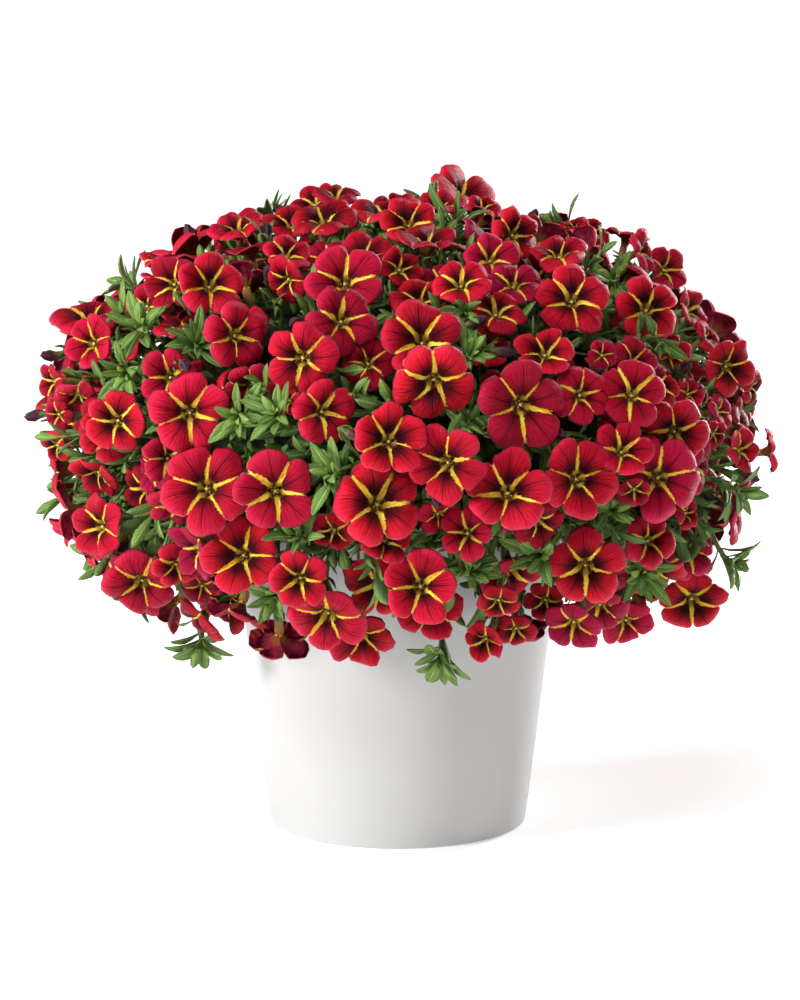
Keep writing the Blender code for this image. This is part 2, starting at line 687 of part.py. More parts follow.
class Spray:
    """A stub on the mound with the shapes of the blooms and buds it carries."""

    def __init__(self, foot, outward):
        self.outward = outward
        self.foot = foot + outward * GAP
        self.root = foot + outward * (GAP + STUB_HEIGHT * 0.55)
        path = [self.foot, foot + outward * (GAP + STUB_HEIGHT)]
        self.stub = tube(path, [STUB_RADIUS, STUB_RADIUS * 0.75], STUB_SIDES)
        self.parts = []

    def root_towards(self, place):
        """Where a stalk from the place ends, inside the stub on its near side."""
        aside = place - self.root
        aside -= self.outward * aside.dot(self.outward)
        if aside.length < 3 * MM:
            return self.root
        return self.root + aside.normalized() * STUB_RADIUS * 0.4


def make_sprays(mound):
    """Stubs in rings on the mound, each seated just clear of its surface."""
    tree = BVHTree.FromPolygons(*mound)
    sprays = []
    for ring, (height, count) in enumerate(STUB_RINGS):
        level = height * MM - DOME_CENTRE
        radius = mound_radius(level, 0) if count > 1 else 0
        for number in range(count):
            angle = 2 * math.pi * (number + 0.5 * (ring % 2)) / count
            outward = dome_normal(Vector((radius * math.cos(angle), radius * math.sin(angle), height * MM)))
            start = Vector((radius * math.cos(angle), radius * math.sin(angle), height * MM)) + outward * 0.03
            foot, normal, _, _ = tree.ray_cast(start, -outward)
            if normal.dot(outward) < 0:
                normal = -normal
            sprays.append(Spray(foot, normal))
    return sprays


def try_bloom(space, sprays, place, face, radius, push, lobe_edges):
    """Find a clear place for a bloom near where it should be, and add it."""
    twist = random_source.uniform(0, 2 * math.pi)
    for shrink in (1.0, 0.93, 0.85):
        for shift in (0, -3, 3, -6, 5, -9, -12, 7, -15, -18):
            centre = place - push * shift * MM
            if dome_value(centre, MOUND_INSET - 9 * MM) < 1:
                continue
            near = sorted(sprays, key=lambda spray: (spray.root - centre + face * 6 * MM).length)
            for spray in near[:4]:
                if (spray.root - centre).normalized().dot(face) > -0.12:
                    continue
                root = spray.root_towards(centre)
                size = radius * shrink
                whole = bloom_shape(centre, face, size, twist, root, lobe_edges)
                free = bloom_shape(centre, face, size, twist, short_of(root, centre), lobe_edges)
                if space.is_clear(whole, free=free, owner=spray):
                    space.add(whole, free, spray)
                    spray.parts.append(whole)
                    return centre
    return None


def try_bud(space, sprays, tip, face):
    """Find a clear place for a bud, and add it."""
    near = sorted(sprays, key=lambda spray: (spray.root - tip + face * BUD_LENGTH).length)
    for shift in (0, 3, -3, 6, -6, 9):
        for spray in near[:4]:
            end = tip + face * shift * MM
            base = end - face * BUD_LENGTH
            root = spray.root_towards(base)
            whole = bud_shape(end, face, root)
            free = bud_shape(end, face, short_of(root, base))
            if space.is_clear(whole, free=free, owner=spray):
                space.add(whole, free, spray)
                spray.parts.append(whole)
                return True
    return False


def rear_places(lowest):
    """Places on the dome, evenly spread by the golden angle, all the way round."""
    steps = 4000
    places = []
    for step in range(steps):
        share = (step + 0.5) / steps
        angle = step * math.pi * (3 - math.sqrt(5))
        height = lowest + (DOME_CENTRE + DOME_RISE - lowest) * share
        above = height - DOME_CENTRE
        half = DOME_RISE if above > 0 else DOME_DROP
        radius = DOME_RADIUS * math.sqrt(max(0, 1 - (above / half) ** 2))
        places.append(Vector((radius * math.cos(angle), radius * math.sin(angle), height)))
    random_source.shuffle(places)
    return places


def seen_in_picture(point):
    """Whether a place on the dome faces the viewer."""
    return dome_normal(point).dot((VIEWPOINT - point).normalized()) > 0.22


def place_blooms(space, sprays):
    """The blooms seen in the picture, the sunk ones last, then the rest all round."""
    centres = []
    for bloom in sorted(FRONT_BLOOMS, key=lambda item: (item.sunk > 3, -item.wide)):
        ray = view_ray(bloom.x, bloom.y)
        place = picture_place(bloom.x, bloom.y, bloom.sunk * MM)
        face = facing(ray, bloom.lean, bloom.turn)
        radius = bloom.wide * PIXEL_SIZE / 2
        centre = try_bloom(space, sprays, place, face, radius, -ray, FRONT_LOBE_EDGES)
        if centre is None:
            print("no room for bloom", bloom)
        else:
            centres.append(centre)
    for place in rear_places(SKIRT_BOTTOM):
        if seen_in_picture(place):
            continue
        if any((place - centre).length < REAR_SPREAD * random_source.uniform(0.8, 1.0) for centre in centres):
            continue
        outward = dome_normal(place)
        sway = Vector([random_source.uniform(-0.4, 0.4) for _ in range(3)])
        face = (outward + sway).normalized()
        radius = REAR_BLOOM / 2 * random_source.uniform(0.88, 1.14)
        place -= outward * random_source.uniform(0, 5) * MM
        centre = try_bloom(space, sprays, place, face, radius, outward, REAR_LOBE_EDGES)
        if centre is not None:
            centres.append(centre)
    return centres


def place_buds(space, sprays):
    """The buds and faded flowers seen in the picture, and some behind."""
    for bud in FRONT_BUDS:
        ray = view_ray(bud.x, bud.y)
        try_bud(space, sprays, picture_place(bud.x, bud.y, 2 * MM), facing(ray, bud.lean, bud.turn))
    made = 0
    for place in rear_places(SKIRT_BOTTOM):
        if made == 16:
            return
        if seen_in_picture(place):
            continue
        sway = Vector([random_source.uniform(-0.6, 0.6) for _ in range(3)])
        face = (dome_normal(place) + sway).normalized()
        if try_bud(space, sprays, place, face):
            made += 1


def mound_foot(tree, place):
    """A point sunk well below the mound's surface, nearest to the place."""
    foot, _, _, _ = tree.find_nearest(place)
    return foot + (foot - place).normalized() * SHOOT_SINK


def try_tuft(space, tree, place, face, size):
    """Find a clear place for a tuft and keep the leaves that cross nothing."""
    foot = mound_foot(tree, place)
    twist = random_source.uniform(0, 2 * math.pi)
    trials = [(shift, 0, 0) for shift in (0, -3, 3, -6, 5, -9)]
    trials += [(shift, 5 * right, 5 * up) for shift in (0, -5)
               for right, up in ((1, 0), (-1, 0), (0, 1), (0, -1), (1, 1), (-1, -1))]
    for shift, right, up in trials:
        tip = place + (place - foot).normalized() * shift * MM
        tip += (RIGHTWARD * right + UPWARD * up) * MM
        if not space.is_clear(tuft_shape(tip, face, size, foot, twist, ()), 1.0):
            continue
        leaves = [leaf for leaf in range(TUFT_LEAVES)
                  if space.is_clear(tuft_shape(tip, face, size, foot, twist, (leaf,)), 1.02)]
        if len(leaves) < 2:
            continue
        shape = tuft_shape(tip, face, size, foot, twist, leaves)
        space.add(shape)
        return shape
    return None


def place_tufts(space, mound, centres):
    """The tufts seen in the picture, then the rest all round."""
    tree = BVHTree.FromPolygons(*mound)
    shapes = []
    spots = []
    for tuft in FRONT_TUFTS:
        ray = view_ray(tuft.x, tuft.y)
        place = picture_place(tuft.x, tuft.y, TUFT_DEPTH)
        face = facing(ray, tuft.lean, tuft.turn)
        shape = try_tuft(space, tree, place, face, tuft.wide * PIXEL_SIZE * 0.62)
        if shape is None:
            print("no room for tuft", tuft)
        else:
            shapes.append(shape)
            spots.append(place)
    for place in rear_places(SKIRT_BOTTOM + 8 * MM):
        if seen_in_picture(place):
            continue
        if any((place - spot).length < REAR_TUFT_SPREAD for spot in spots):
            continue
        if any((place - centre).length < BLOOM_CLEARANCE for centre in centres):
            continue
        outward = dome_normal(place)
        sway = Vector([random_source.uniform(-0.4, 0.4) for _ in range(3)])
        shape = try_tuft(space, tree, place - outward * TUFT_DEPTH, (outward + sway).normalized(), LEAF_LENGTH)
        if shape is not None:
            shapes.append(shape)
            spots.append(place)
    return shapes


def make_plant(mound, crown):
    """The mound with its leaves, and every spray of flowers."""
    space = Space()
    for item in (bpy.data.objects["pot"], crown):
        points = [vertex.co.copy() for vertex in item.data.vertices]
        space.add((points, [tuple(face.vertices) for face in item.data.polygons]))
    sprays = make_sprays(mound)
    for spray in sprays:
        space.add(spray.stub, far_shape(spray.stub), spray)
    space.add(mound)
    mound_entry = space.taken[-1]
    centres = place_blooms(space, sprays)
    place_buds(space, sprays)
    space.taken.remove(mound_entry)
    leaf_parts = place_tufts(space, mound, centres)
    green = make_material("leaves")
    foliage = add_object("foliage", *mound, green)
    join_all(foliage, [add_object("leaf", *shape, green) for shape in leaf_parts])
    print("blooms", len(centres), "all parts", sum(len(spray.parts) for spray in sprays), "tufts", len(leaf_parts))
    number = 0
    for spray in sprays:
        if not spray.parts:
            continue
        number += 1
        red = make_material("petals")
        stub = add_object("flower_spray_%02d" % number, *spray.stub, red)
        join_all(stub, [add_object("bloom", *shape, red) for shape in spray.parts])


def main():
    clear_scene()
    make_pot()
    make_soil()
    mound = mound_shell()
    crown = make_crown_stems(mound)
    make_plant(mound, crown)
    total = 0
    for item in bpy.context.scene.objects:
        count = sum(len(face.vertices) - 2 for face in item.data.polygons)
        total += count
        print(item.name, count)
    print("triangles", total)


main()
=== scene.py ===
"""Looks of the potted calibrachoa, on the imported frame.

The layout of blooms, buds and leaves is read back from the frame's solids, and each is grown
again as a fine piece on the same place.
"""
import math
import random
from types import SimpleNamespace

import bpy
import numpy as np
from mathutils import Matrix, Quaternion, Vector, noise
from mathutils.bvhtree import BVHTree

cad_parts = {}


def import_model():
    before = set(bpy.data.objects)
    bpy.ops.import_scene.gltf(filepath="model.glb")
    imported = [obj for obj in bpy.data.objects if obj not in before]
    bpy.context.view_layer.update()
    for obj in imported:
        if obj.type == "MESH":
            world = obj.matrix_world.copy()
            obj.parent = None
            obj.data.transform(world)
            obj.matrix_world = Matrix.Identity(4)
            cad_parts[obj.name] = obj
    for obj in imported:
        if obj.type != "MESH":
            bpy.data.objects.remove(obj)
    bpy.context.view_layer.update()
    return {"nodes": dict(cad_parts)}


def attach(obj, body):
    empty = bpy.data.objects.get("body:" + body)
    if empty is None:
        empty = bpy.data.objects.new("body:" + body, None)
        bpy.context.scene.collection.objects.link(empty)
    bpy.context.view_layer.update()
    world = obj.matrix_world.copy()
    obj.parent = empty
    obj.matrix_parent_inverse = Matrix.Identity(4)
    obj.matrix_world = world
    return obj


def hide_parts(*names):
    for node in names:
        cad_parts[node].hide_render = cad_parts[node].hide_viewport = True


MM = 0.001
SEED = 7

# Pot
POT_HEIGHT = 127 * MM
POT_BASE_RADIUS = 47 * MM
POT_TOP_RADIUS = 62.4 * MM
POT_SLOPE = (POT_TOP_RADIUS - POT_BASE_RADIUS) / POT_HEIGHT
POT_WALL = 2.2 * MM
POT_FLOOR = 3 * MM
POT_ROUND = 1 * MM
POT_FOOT = 0.6 * MM
POT_SIDES = 144

# Soil
SOIL_TOP = 113 * MM
SOIL_BOTTOM = POT_FLOOR + 1.5 * MM
SOIL_GAP = POT_WALL + 0.5 * MM
SOIL_HOLE = 8.5 * MM
SOIL_HOLE_BOTTOM = 88 * MM
SOIL_SIDES = 90
SOIL_RINGS = 15
CRUMB_COUNT = 260
CRUMB_REACH = 54 * MM

# Mound of packed shoots
DOME_CENTRE = 146 * MM
DOME_RADIUS = 131 * MM
DOME_RISE = 82 * MM
DOME_DROP = 92 * MM
MOUND_RADIUS = 104 * MM
MOUND_RISE = 55 * MM
MOUND_DROP = DOME_DROP * MOUND_RADIUS / DOME_RADIUS
MOUND_WALL = 12 * MM
MOUND_BOTTOM = 131 * MM
MOUND_SIDES = 110
MOUND_ROWS = 30

# Bloom, as shares of its radius unless said
LOBES = 5
LOBE_ANGLE = 72
THROAT_DEPTH = 0.30
NECK_RADIUS = 0.15
TUBE_START = 0.48
NOTCH_REACH = 0.70
LOBE_REACH = 0.285
LOBE_COLUMNS = (0, 4, 9, 16, 25, 36, 47, 56, 63, 68)
FACE_STEPS = (0.06, 0.12, 0.19, 0.28, 0.40, 0.53, 0.66, 0.78, 0.88, 0.96, 1.0)
FACE_LIFTS = (-0.72, -0.48, -0.25, -0.13, -0.06, -0.01, 0.03, 0.05, 0.045, 0.015, -0.03)
BACK_STEPS = (0.97, 0.75, 0.48, 0.26, 0.13)
BACK_AT = (-1.0, -0.97, -0.58, -0.36, -0.20, -0.13)
BACK_DROPS = (0.008, 0.012, 0.035, 0.045, 0.07, 0.10)
PLAIN_COLUMNS = (0, 7, 20, 36, 52, 65)
PLAIN_STEPS = (0.10, 0.19, 0.34, 0.55, 0.78, 0.93, 1.0)
CREASE_WIDTH = 0.06
CREASE_DEPTH = 0.060
THROAT_POLE = -0.78
BACK_POLE = -0.62
LOWEST_LOBE = -0.36
HIGHEST_LOBE = 0.24
CROWN_LOBE = 0.03
CROWN_HEIGHT = 214 * MM
BLOOM_LEAN = 0.10
CALYX_RADIUS = 1.4 * MM
STALK_RADIUS = 0.55 * MM
STALK_STEPS = 14
TUBE_LENGTH = 9 * MM
SEPAL_LENGTH = 6.5 * MM
SEPAL_WIDTH = 1.5 * MM

# Waves of a bloom's face and margin, each with the counts to choose from and its span of sizes
MARGIN_WAVES = (
    ((2, 3), (0.0, 0.035)),
    ((7, 9, 11), (0.010, 0.026)),
    ((16, 19, 23), (0.006, 0.014)),
)

# Bud, with its width at steps from tip to stalk
BUD_RADIUS = 2.2 * MM
BUD_LENGTH = 12 * MM
BUD_COLUMNS = 15
BUD_STEPS = (0.0, 0.06, 0.16, 0.30, 0.45, 0.60, 0.78, 0.92)
BUD_WIDTHS = (0.25, 0.62, 0.92, 1.0, 0.80, 0.56, 0.46, 0.44)

# Leaves: length, width, and outlines as rows from stalk to tip with the width at each
LEAF_LENGTH = 17 * MM
LEAF_WIDTH = 6.5 * MM
LEAF_ROWS = (0.0, 0.10, 0.24, 0.40, 0.58, 0.74, 0.87, 0.95)
NARROW_LEAF = (LEAF_ROWS, (0.12, 0.20, 0.46, 0.80, 1.0, 0.86, 0.56, 0.28))
ROUND_LEAF = (LEAF_ROWS, (0.14, 0.22, 0.58, 0.90, 1.0, 0.94, 0.72, 0.44))
SMALL_LEAF = ((0.0, 0.30, 0.62, 0.86), (0.14, 0.66, 1.0, 0.6))
LEAF_THICKNESS = 0.35 * MM
LEAF_LOWERED = 0.10
ROUND_BELOW = 122 * MM
YOUNG_LEAVES = 5
MORE_LEAVES = 6
STUB_LEAVES = 4

# Shoots
INNER_SHOOTS = 460
SHORT_SHOOT = (12 * MM, 22 * MM)
LONG_SHOOT = (26 * MM, 32 * MM)
LONG_EVERY = 8
SHOOT_RADII = (1.1 * MM, 1.0 * MM, 0.9 * MM, 0.8 * MM, 0.7 * MM, 0.5 * MM)
INNER_LEAVES = 7
SKIRT_SHOOTS = 84
SKIRT_STEPS = 12

# Smaller blooms inside the dome
INNER_TRIES = 1300
INNER_INSETS = (5 * MM, 10 * MM, 15 * MM)
INNER_RADII = (9.5 * MM, 13 * MM)
FRINGE_SHARE = 0.80
FRINGE_KEPT = 0.45
FRINGE_RADII = (11.5 * MM, 14 * MM)
INNER_STALK = 29 * MM
INNER_VIEW = 40 * MM
INNER_PARTS = 4

# Angles in radians: from one leaf or shoot to the next, and the span of a random start
LEAF_TURN = 2.4
GOLDEN_TURN = math.pi * (3 - math.sqrt(5))
ANY_ANGLE = (0, 6.3)

# Places of the materials in the lists of a spray and of a leafy piece
PETAL, TUBE, SPRAY_STALK, SPRAY_LEAF, HEART, BUD = range(6)
LEAF, STALK = range(2)

# Camera
VIEW_DISTANCE = 1500 * MM
VIEW_HEIGHT = 388 * MM
VIEW_ASIDE = 0.74 * MM
VIEW_PITCH = 10.18
LENS = 150.75
SENSOR = 36


def linear(red, green, blue):
    """A colour given from 0 to 255 as a screen shows it, as the renderer takes it."""
    values = []
    for value in (red, green, blue):
        value /= 255
        values.append(value / 12.92 if value <= 0.04045 else ((value + 0.055) / 1.055) ** 2.4)
    return (*values, 1)


def worked(work):
    """A method that works on values of a material with one kind of maths node."""
    return lambda value, *others: value.shader.math(work, value, *others)


class Value:
    """A value in a material, which adds, multiplies and eases much as a number would."""

    __add__ = worked("ADD")
    __sub__ = worked("SUBTRACT")
    __mul__ = worked("MULTIPLY")
    __truediv__ = worked("DIVIDE")
    __abs__ = worked("ABSOLUTE")
    sine = worked("SINE")
    larger = worked("MAXIMUM")

    def __init__(self, shader, socket):
        self.shader = shader
        self.socket = socket

    def ease(self, start, end, low=0.0, high=1.0):
        """A smooth step from low to high while this goes from start to end."""
        inputs = {"Value": self, "From Min": start, "From Max": end, "To Min": low, "To Max": high}
        return self.shader.node("ShaderNodeMapRange", inputs, "Result", interpolation_type="SMOOTHSTEP")

    def folds(self, count=1):
        """Even folds from 0 to 1 and back, so many while this goes from 0 to 1."""
        return abs((self * (count * math.pi)).sine())


class Shader:
    """A material with a short way to add nodes to it. Its spot is the place that noises go by."""

    def __init__(self, name, roughness, specular, painted=False):
        self.material = bpy.data.materials.new(name)
        self.material.use_nodes = True
        self.tree = self.material.node_tree
        self.body = self.tree.nodes["Principled BSDF"].inputs
        self.body["Roughness"].default_value = roughness
        self.body["Specular IOR Level"].default_value = specular
        self.spot = self.painted("place")[0] if painted else self.node("ShaderNodeTexCoord", {}, "Object")

    def put(self, socket, value):
        """Joins a value to a socket or sets it there. A plain colour goes from 0 to 255."""
        if isinstance(value, Value):
            self.tree.links.new(value.socket, socket)
        else:
            socket.default_value = linear(*value) if isinstance(value, tuple) else value

    def node(self, kind, inputs, output=0, **settings):
        """One output of a new node with these inputs and settings."""
        node = self.tree.nodes.new(kind)
        for name, setting in settings.items():
            setattr(node, name, setting)
        for name, value in inputs.items():
            self.put(node.inputs[name], value)
        return Value(self, node.outputs[output])

    def math(self, work, *values):
        return self.node("ShaderNodeMath", dict(enumerate(values)), operation=work)

    def painted(self, name):
        """The vector painted on the points under a name, and its three values."""
        whole = self.node("ShaderNodeAttribute", {}, "Vector", attribute_name=name)
        parts = self.node("ShaderNodeSeparateXYZ", {0: whole}).socket.node.outputs
        return whole, *(Value(self, part) for part in parts)

    def noise(self, scale, detail, roughness=0.55, distortion=0.0, spot=None):
        names = ("Vector", "Scale", "Detail", "Roughness", "Distortion")
        inputs = zip(names, (spot or self.spot, scale, detail, roughness, distortion))
        return self.node("ShaderNodeTexNoise", dict(inputs), "Fac")

    def cells(self, scale):
        return self.node("ShaderNodeTexVoronoi", {"Vector": self.spot, "Scale": scale}, "Distance")

    def coats(self, colour, *layers):
        """Lays coats over a colour, each given as the share of it that shows and its colour."""
        for share, coat in layers:
            inputs = {0: share, 6: colour, 7: coat}
            colour = self.node("ShaderNodeMix", inputs, 2, data_type="RGBA", clamp_factor=True)
        return colour

    def finish(self, colour, height=None, depth=None):
        """The material with its colour, and with a bump from the height where it has one."""
        self.put(self.body["Base Color"], colour)
        if height is not None:
            inputs = {"Height": height, "Strength": 1.0, "Distance": depth}
            self.put(self.body["Normal"], self.node("ShaderNodeBump", inputs))
        return self.material


def petal_material():
    """Crimson with a pinkish margin, dark towards the throat, with yellow rays in the creases.

    Painted on the points: form is how near the crease in lobe widths, the step from throat to
    margin, and the distance from the crease. Tone is a bloom's darkening, from fading and, on the
    blooms inside the dome, painted shade; then hue and face or back. The last value of place is how broad the
    nearest ray is.
    """
    shader = Shader("calibrachoa_petal", roughness=0.50, specular=0.26, painted=True)
    _, crease, step, aside = shader.painted("form")
    broadness = shader.painted("place")[3]
    _, fade_and_shade, hue, front = shader.painted("tone")
    broad = shader.noise(1.6, 3)
    fine = shader.noise(7.0, 4, 0.65)
    grain = shader.noise(24.0, 3, 0.7)
    fan = shader.node("ShaderNodeCombineXYZ", {0: crease * 11.0, 1: step * 2.6, 2: shader.spot})
    streaks = shader.noise(1.0, 5, 0.75, 0.5, fan)
    wandering = step + streaks * 0.30
    heart = wandering + hue.ease(0, 1, -0.10, 0.12)

    side_veins = (crease * 4.2 + fine * 0.8).folds().ease(0.0, 0.22, 1, 0)
    middle_vein = (crease * (step + 0.15)).ease(0.0, 0.05, 1, 0)
    veins = (side_veins * 0.75).larger(middle_vein) * wandering.ease(0.72, 1.20, 1, 0)

    width = step.ease(0.34, 0.95, 0.060, 0.031) * broadness
    rayside = (aside + ((grain - 0.5) * 0.068 + (fine - 0.5) * 0.095)) / width
    ray = rayside.ease(0.84, 1.06, 1, 0) * step.ease(0.15, 0.22)
    yellow = shader.coats(
        (252, 184, 30),
        (fine.ease(0.35, 0.60), (255, 236, 84)),
        (step.ease(0.18, 0.32, 0.5, 0), (190, 138, 34)),
        (rayside.ease(0.45, 0.95, 0, 0.5), (255, 206, 120)),
        (step.ease(0.82, 1.0, 0, 0.6), (255, 222, 156)),
    )
    margin = step.ease(0.972, 0.992) * crease.ease(0.45, 0.85, 0.10, 0.8)

    hollow = (step + fine * 0.08).ease(0.21, 0.28, 1, 0)
    olive = shader.coats(
        (112, 70, 26),
        ((crease + (fine - 0.5) * 0.7).ease(0.10, 0.75), (250, 212, 90)),
        # painted shade: the deepest part of the throat a dull dark olive, without the yellow
        (step.ease(0.04, 0.12, 0.85, 0), (112, 92, 36)),
    )
    rear = shader.coats(
        (138, 24, 52),
        (fine.ease(0.35, 0.7), (176, 58, 88)),
        (side_veins * 0.5, (92, 14, 34)),
        (step.ease(0.18, 0.42, 1, 0), (150, 96, 44)),
    )
    face = shader.coats(
        (172, 10, 24),
        (broad.ease(0.3, 0.7), (216, 22, 44)),
        (0.55, shader.coats((218, 26, 28), (hue, (200, 20, 76)))),
        (hue.ease(0.84, 0.98, 0, 0.5), (158, 18, 84)),
        (wandering.ease(0.70, 1.16, 0.42, 0), (146, 6, 22)),
        (wandering.ease(0.92, 1.26, 0, 0.62), (236, 52, 92)),
        (streaks.ease(0.48, 0.68, 0, 0.62), (112, 6, 18)),
        (heart.ease(0.39, 0.83, 1, 0), (32, 4, 9)),
        # darker blooms: fading, and painted shade on the blooms inside the dome
        (fade_and_shade * 0.8, (70, 7, 18)),
        (veins * 0.9, (46, 3, 10)),
        (grain.ease(0.56, 0.74, 0, 0.20), (226, 62, 84)),
        (ray, yellow),
        (margin, (236, 150, 130)),
        (hollow, olive),
    )
    height = streaks * 1.4 - veins * 0.9 + grain * 0.5
    shader.body["Specular Tint"].default_value = linear(255, 120, 150)
    return shader.finish(shader.coats(rear, (front, face)), height, 0.40 * MM)


def tube_material():
    """The flower's tube: olive and orange with fine stripes down it."""
    shader = Shader("calibrachoa_tube", roughness=0.55, specular=0.3, painted=True)
    _, around, along, _ = shader.painted("form")
    fine = shader.noise(9.0, 4)
    stripes = around.folds(10)
    colour = shader.coats(
        (160, 92, 50),
        (along.ease(0.0, 0.7), (128, 136, 62)),
        (stripes.ease(0.0, 0.45, 0.6, 0), (96, 42, 34)),
        (fine.ease(0.4, 0.75, 0, 0.4), (190, 150, 84)),
    )
    return shader.finish(colour, stripes, 0.12 * MM)


def heart_material():
    """Pale yellow-green stigma and anthers."""
    shader = Shader("calibrachoa_heart", roughness=0.6, specular=0.3, painted=True)
    fine = shader.noise(9.0, 2)
    colour = shader.coats((176, 168, 74), (fine.ease(0.3, 0.7), (222, 206, 120)))
    return shader.finish(colour, fine, 0.1 * MM)


def bud_material():
    """Closed and faded flowers: dark purple, puckered, paler along the folds."""
    shader = Shader("calibrachoa_bud", roughness=0.7, specular=0.25, painted=True)
    _, fold, along, _ = shader.painted("form")
    fine = shader.noise(8.0, 4, 0.7)
    colour = shader.coats(
        (40, 18, 32),
        (fine.ease(0.3, 0.7), (78, 40, 54)),
        (fold.ease(0.60, 1.0, 0, 0.5), (112, 74, 84)),
        (along.ease(0.30, 0.65), (116, 112, 62)),
    )
    return shader.finish(colour, fine, 0.3 * MM)


def leaf_material():
    """Mid green with a paler rib and edge, fine side veins and lighter young leaves."""
    shader = Shader("calibrachoa_leaf", roughness=0.48, specular=0.22, painted=True)
    _, across, along, _ = shader.painted("form")
    _, light, hue, top = shader.painted("tone")
    broad = shader.noise(2.0, 3)
    fine = shader.noise(11.0, 4, 0.65)
    aside = abs(across)
    side_veins = (along * 7 - aside * 1.6).folds().ease(0.0, 0.25, 1, 0)
    rib = aside.ease(0.03, 0.14, 0.85, 0)
    upper = shader.coats(
        (62, 92, 34),
        (light, (144, 178, 78)),
        (hue * 0.5, (76, 124, 58)),
        (broad.ease(0.35, 0.75, 0, 0.35), (64, 92, 44)),
        (fine.ease(0.5, 0.75, 0, 0.35), (134, 156, 88)),
        (side_veins * 0.28, (128, 152, 84)),
        (rib, (172, 190, 122)),
        (aside.ease(0.84, 1.0, 0, 0.55), (160, 174, 104)),
    )
    under = shader.coats(upper, (0.55, (124, 142, 96)))
    return shader.finish(shader.coats(under, (top, upper)), fine - side_veins * 0.6 - rib, 0.25 * MM)


def speckled(name, roughness, specular, depth, colour, *speckles):
    """A material with speckles over a colour, each a noise with its span and colour.

    The last of them also makes the bump.
    """
    shader = Shader(name, roughness, specular)
    for settings, span, coat in speckles:
        speckle = shader.noise(*settings)
        colour = shader.coats(colour, (speckle.ease(*span), coat))
    return shader.finish(colour, speckle, depth)


def stalk_material():
    """Green shoots and stalks, reddish here and there."""
    return speckled(
        "calibrachoa_stalk", 0.55, 0.35, 0.1 * MM, (86, 104, 44),
        ((60.0, 2), (0.3, 0.7), (122, 136, 66)),
        ((700.0, 3), (0.5, 0.8, 0, 0.4), (110, 76, 48)),
    )


def mound_material():
    """The inside of the plant, packed shoots and leaves, painted dark green as their shade and darkest in the
    gaps between leaf cells.
    """
    shader = Shader("calibrachoa_mound_painted_shade", roughness=0.8, specular=0.15)
    leafy = shader.cells(190.0)
    fine = shader.noise(420.0, 4, 0.65)
    colour = shader.coats(
        (58, 78, 36),
        # painted shade: near-black green in the gaps between leaf cells
        (leafy.ease(0.05, 0.7), (16, 22, 12)),
        # broad darker patches, part of the painted shade
        (shader.noise(45.0, 4).ease(0.35, 0.65, 0, 0.7), (34, 44, 24)),
        (fine.ease(0.5, 0.75, 0, 0.4), (72, 58, 38)),
    )
    return shader.finish(colour, fine * 0.6 - leafy, 3 * MM)


def bark_material():
    """Main stems: pale brown bark with green in places."""
    return speckled(
        "calibrachoa_bark", 0.8, 0.2, 0.4 * MM, (104, 82, 54),
        ((90.0, 4), (0.35, 0.65), (112, 116, 64)),
        ((900.0, 4, 0.7), (0.45, 0.75, 0, 0.6), (70, 52, 36)),
    )


def soil_material():
    """Potting mix: dark brown peat with paler fibres."""
    shader = Shader("potting_mix", roughness=0.95, specular=0.1)
    clumps = shader.cells(320.0)
    fine = shader.noise(800.0, 5, 0.7)
    colour = shader.coats(
        (58, 40, 27),
        (clumps.ease(0.1, 0.6), (24, 16, 11)),
        (fine.ease(0.45, 0.7, 0, 0.6), (82, 60, 40)),
        (shader.noise(260.0, 4, 0.6, 3.0).ease(0.62, 0.72, 0, 0.6), (128, 96, 62)),
    )
    return shader.finish(colour, clumps + fine, 0.9 * MM)


def crumb_material():
    """Perlite and bark crumbs on the soil."""
    return speckled(
        "soil_crumb", 0.9, 0.15, 0.2 * MM, (64, 44, 30),
        ((130.0, 1), (0.52, 0.56), (196, 188, 172)),
        ((1500.0, 3), (0.4, 0.8, 0, 0.5), (96, 76, 56)),
    )


def pot_material():
    """Plain white satin plastic with a trace of moulding grain."""
    shader = Shader("pot_white", roughness=0.34, specular=0.5)
    broad = shader.noise(14.0, 3)
    colour = shader.coats((187, 187, 186), (broad.ease(0.3, 0.7), (192, 192, 191)))
    shader.put(shader.body["Roughness"], broad.ease(0.3, 0.7, 0.30, 0.38))
    return shader.finish(colour, shader.noise(1800.0, 2), 0.02 * MM)


def floor_material():
    """Plain pale studio floor that glows, a painted glow that is faint near the plant and brighter far from
    it.
    """
    shader = Shader("floor_pale_glowing", roughness=0.9, specular=0.0)
    away = shader.node("ShaderNodeVectorMath", {0: shader.spot}, "Value", operation="LENGTH")
    shader.body["Emission Color"].default_value = (1, 1, 1, 1)
    # painted glow: the floor gives light, weak near the plant and strong far off
    shader.put(shader.body["Emission Strength"], away.ease(0.4, 2.4, 0.32, 1.0))
    return shader.finish(shader.coats((245, 245, 245), (shader.noise(3.0, 2), (248, 248, 248))))


def put_in_scene(name, data):
    item = bpy.data.objects.new(name, data)
    bpy.context.scene.collection.objects.link(item)
    return item


def new_mesh(name, points, faces, materials):
    mesh = bpy.data.meshes.new(name)
    mesh.from_pydata(points, [], faces)
    for material in materials:
        mesh.materials.append(material)
    return mesh


def make_smooth(mesh):
    mesh.polygons.foreach_set("use_smooth", [True] * len(mesh.polygons))


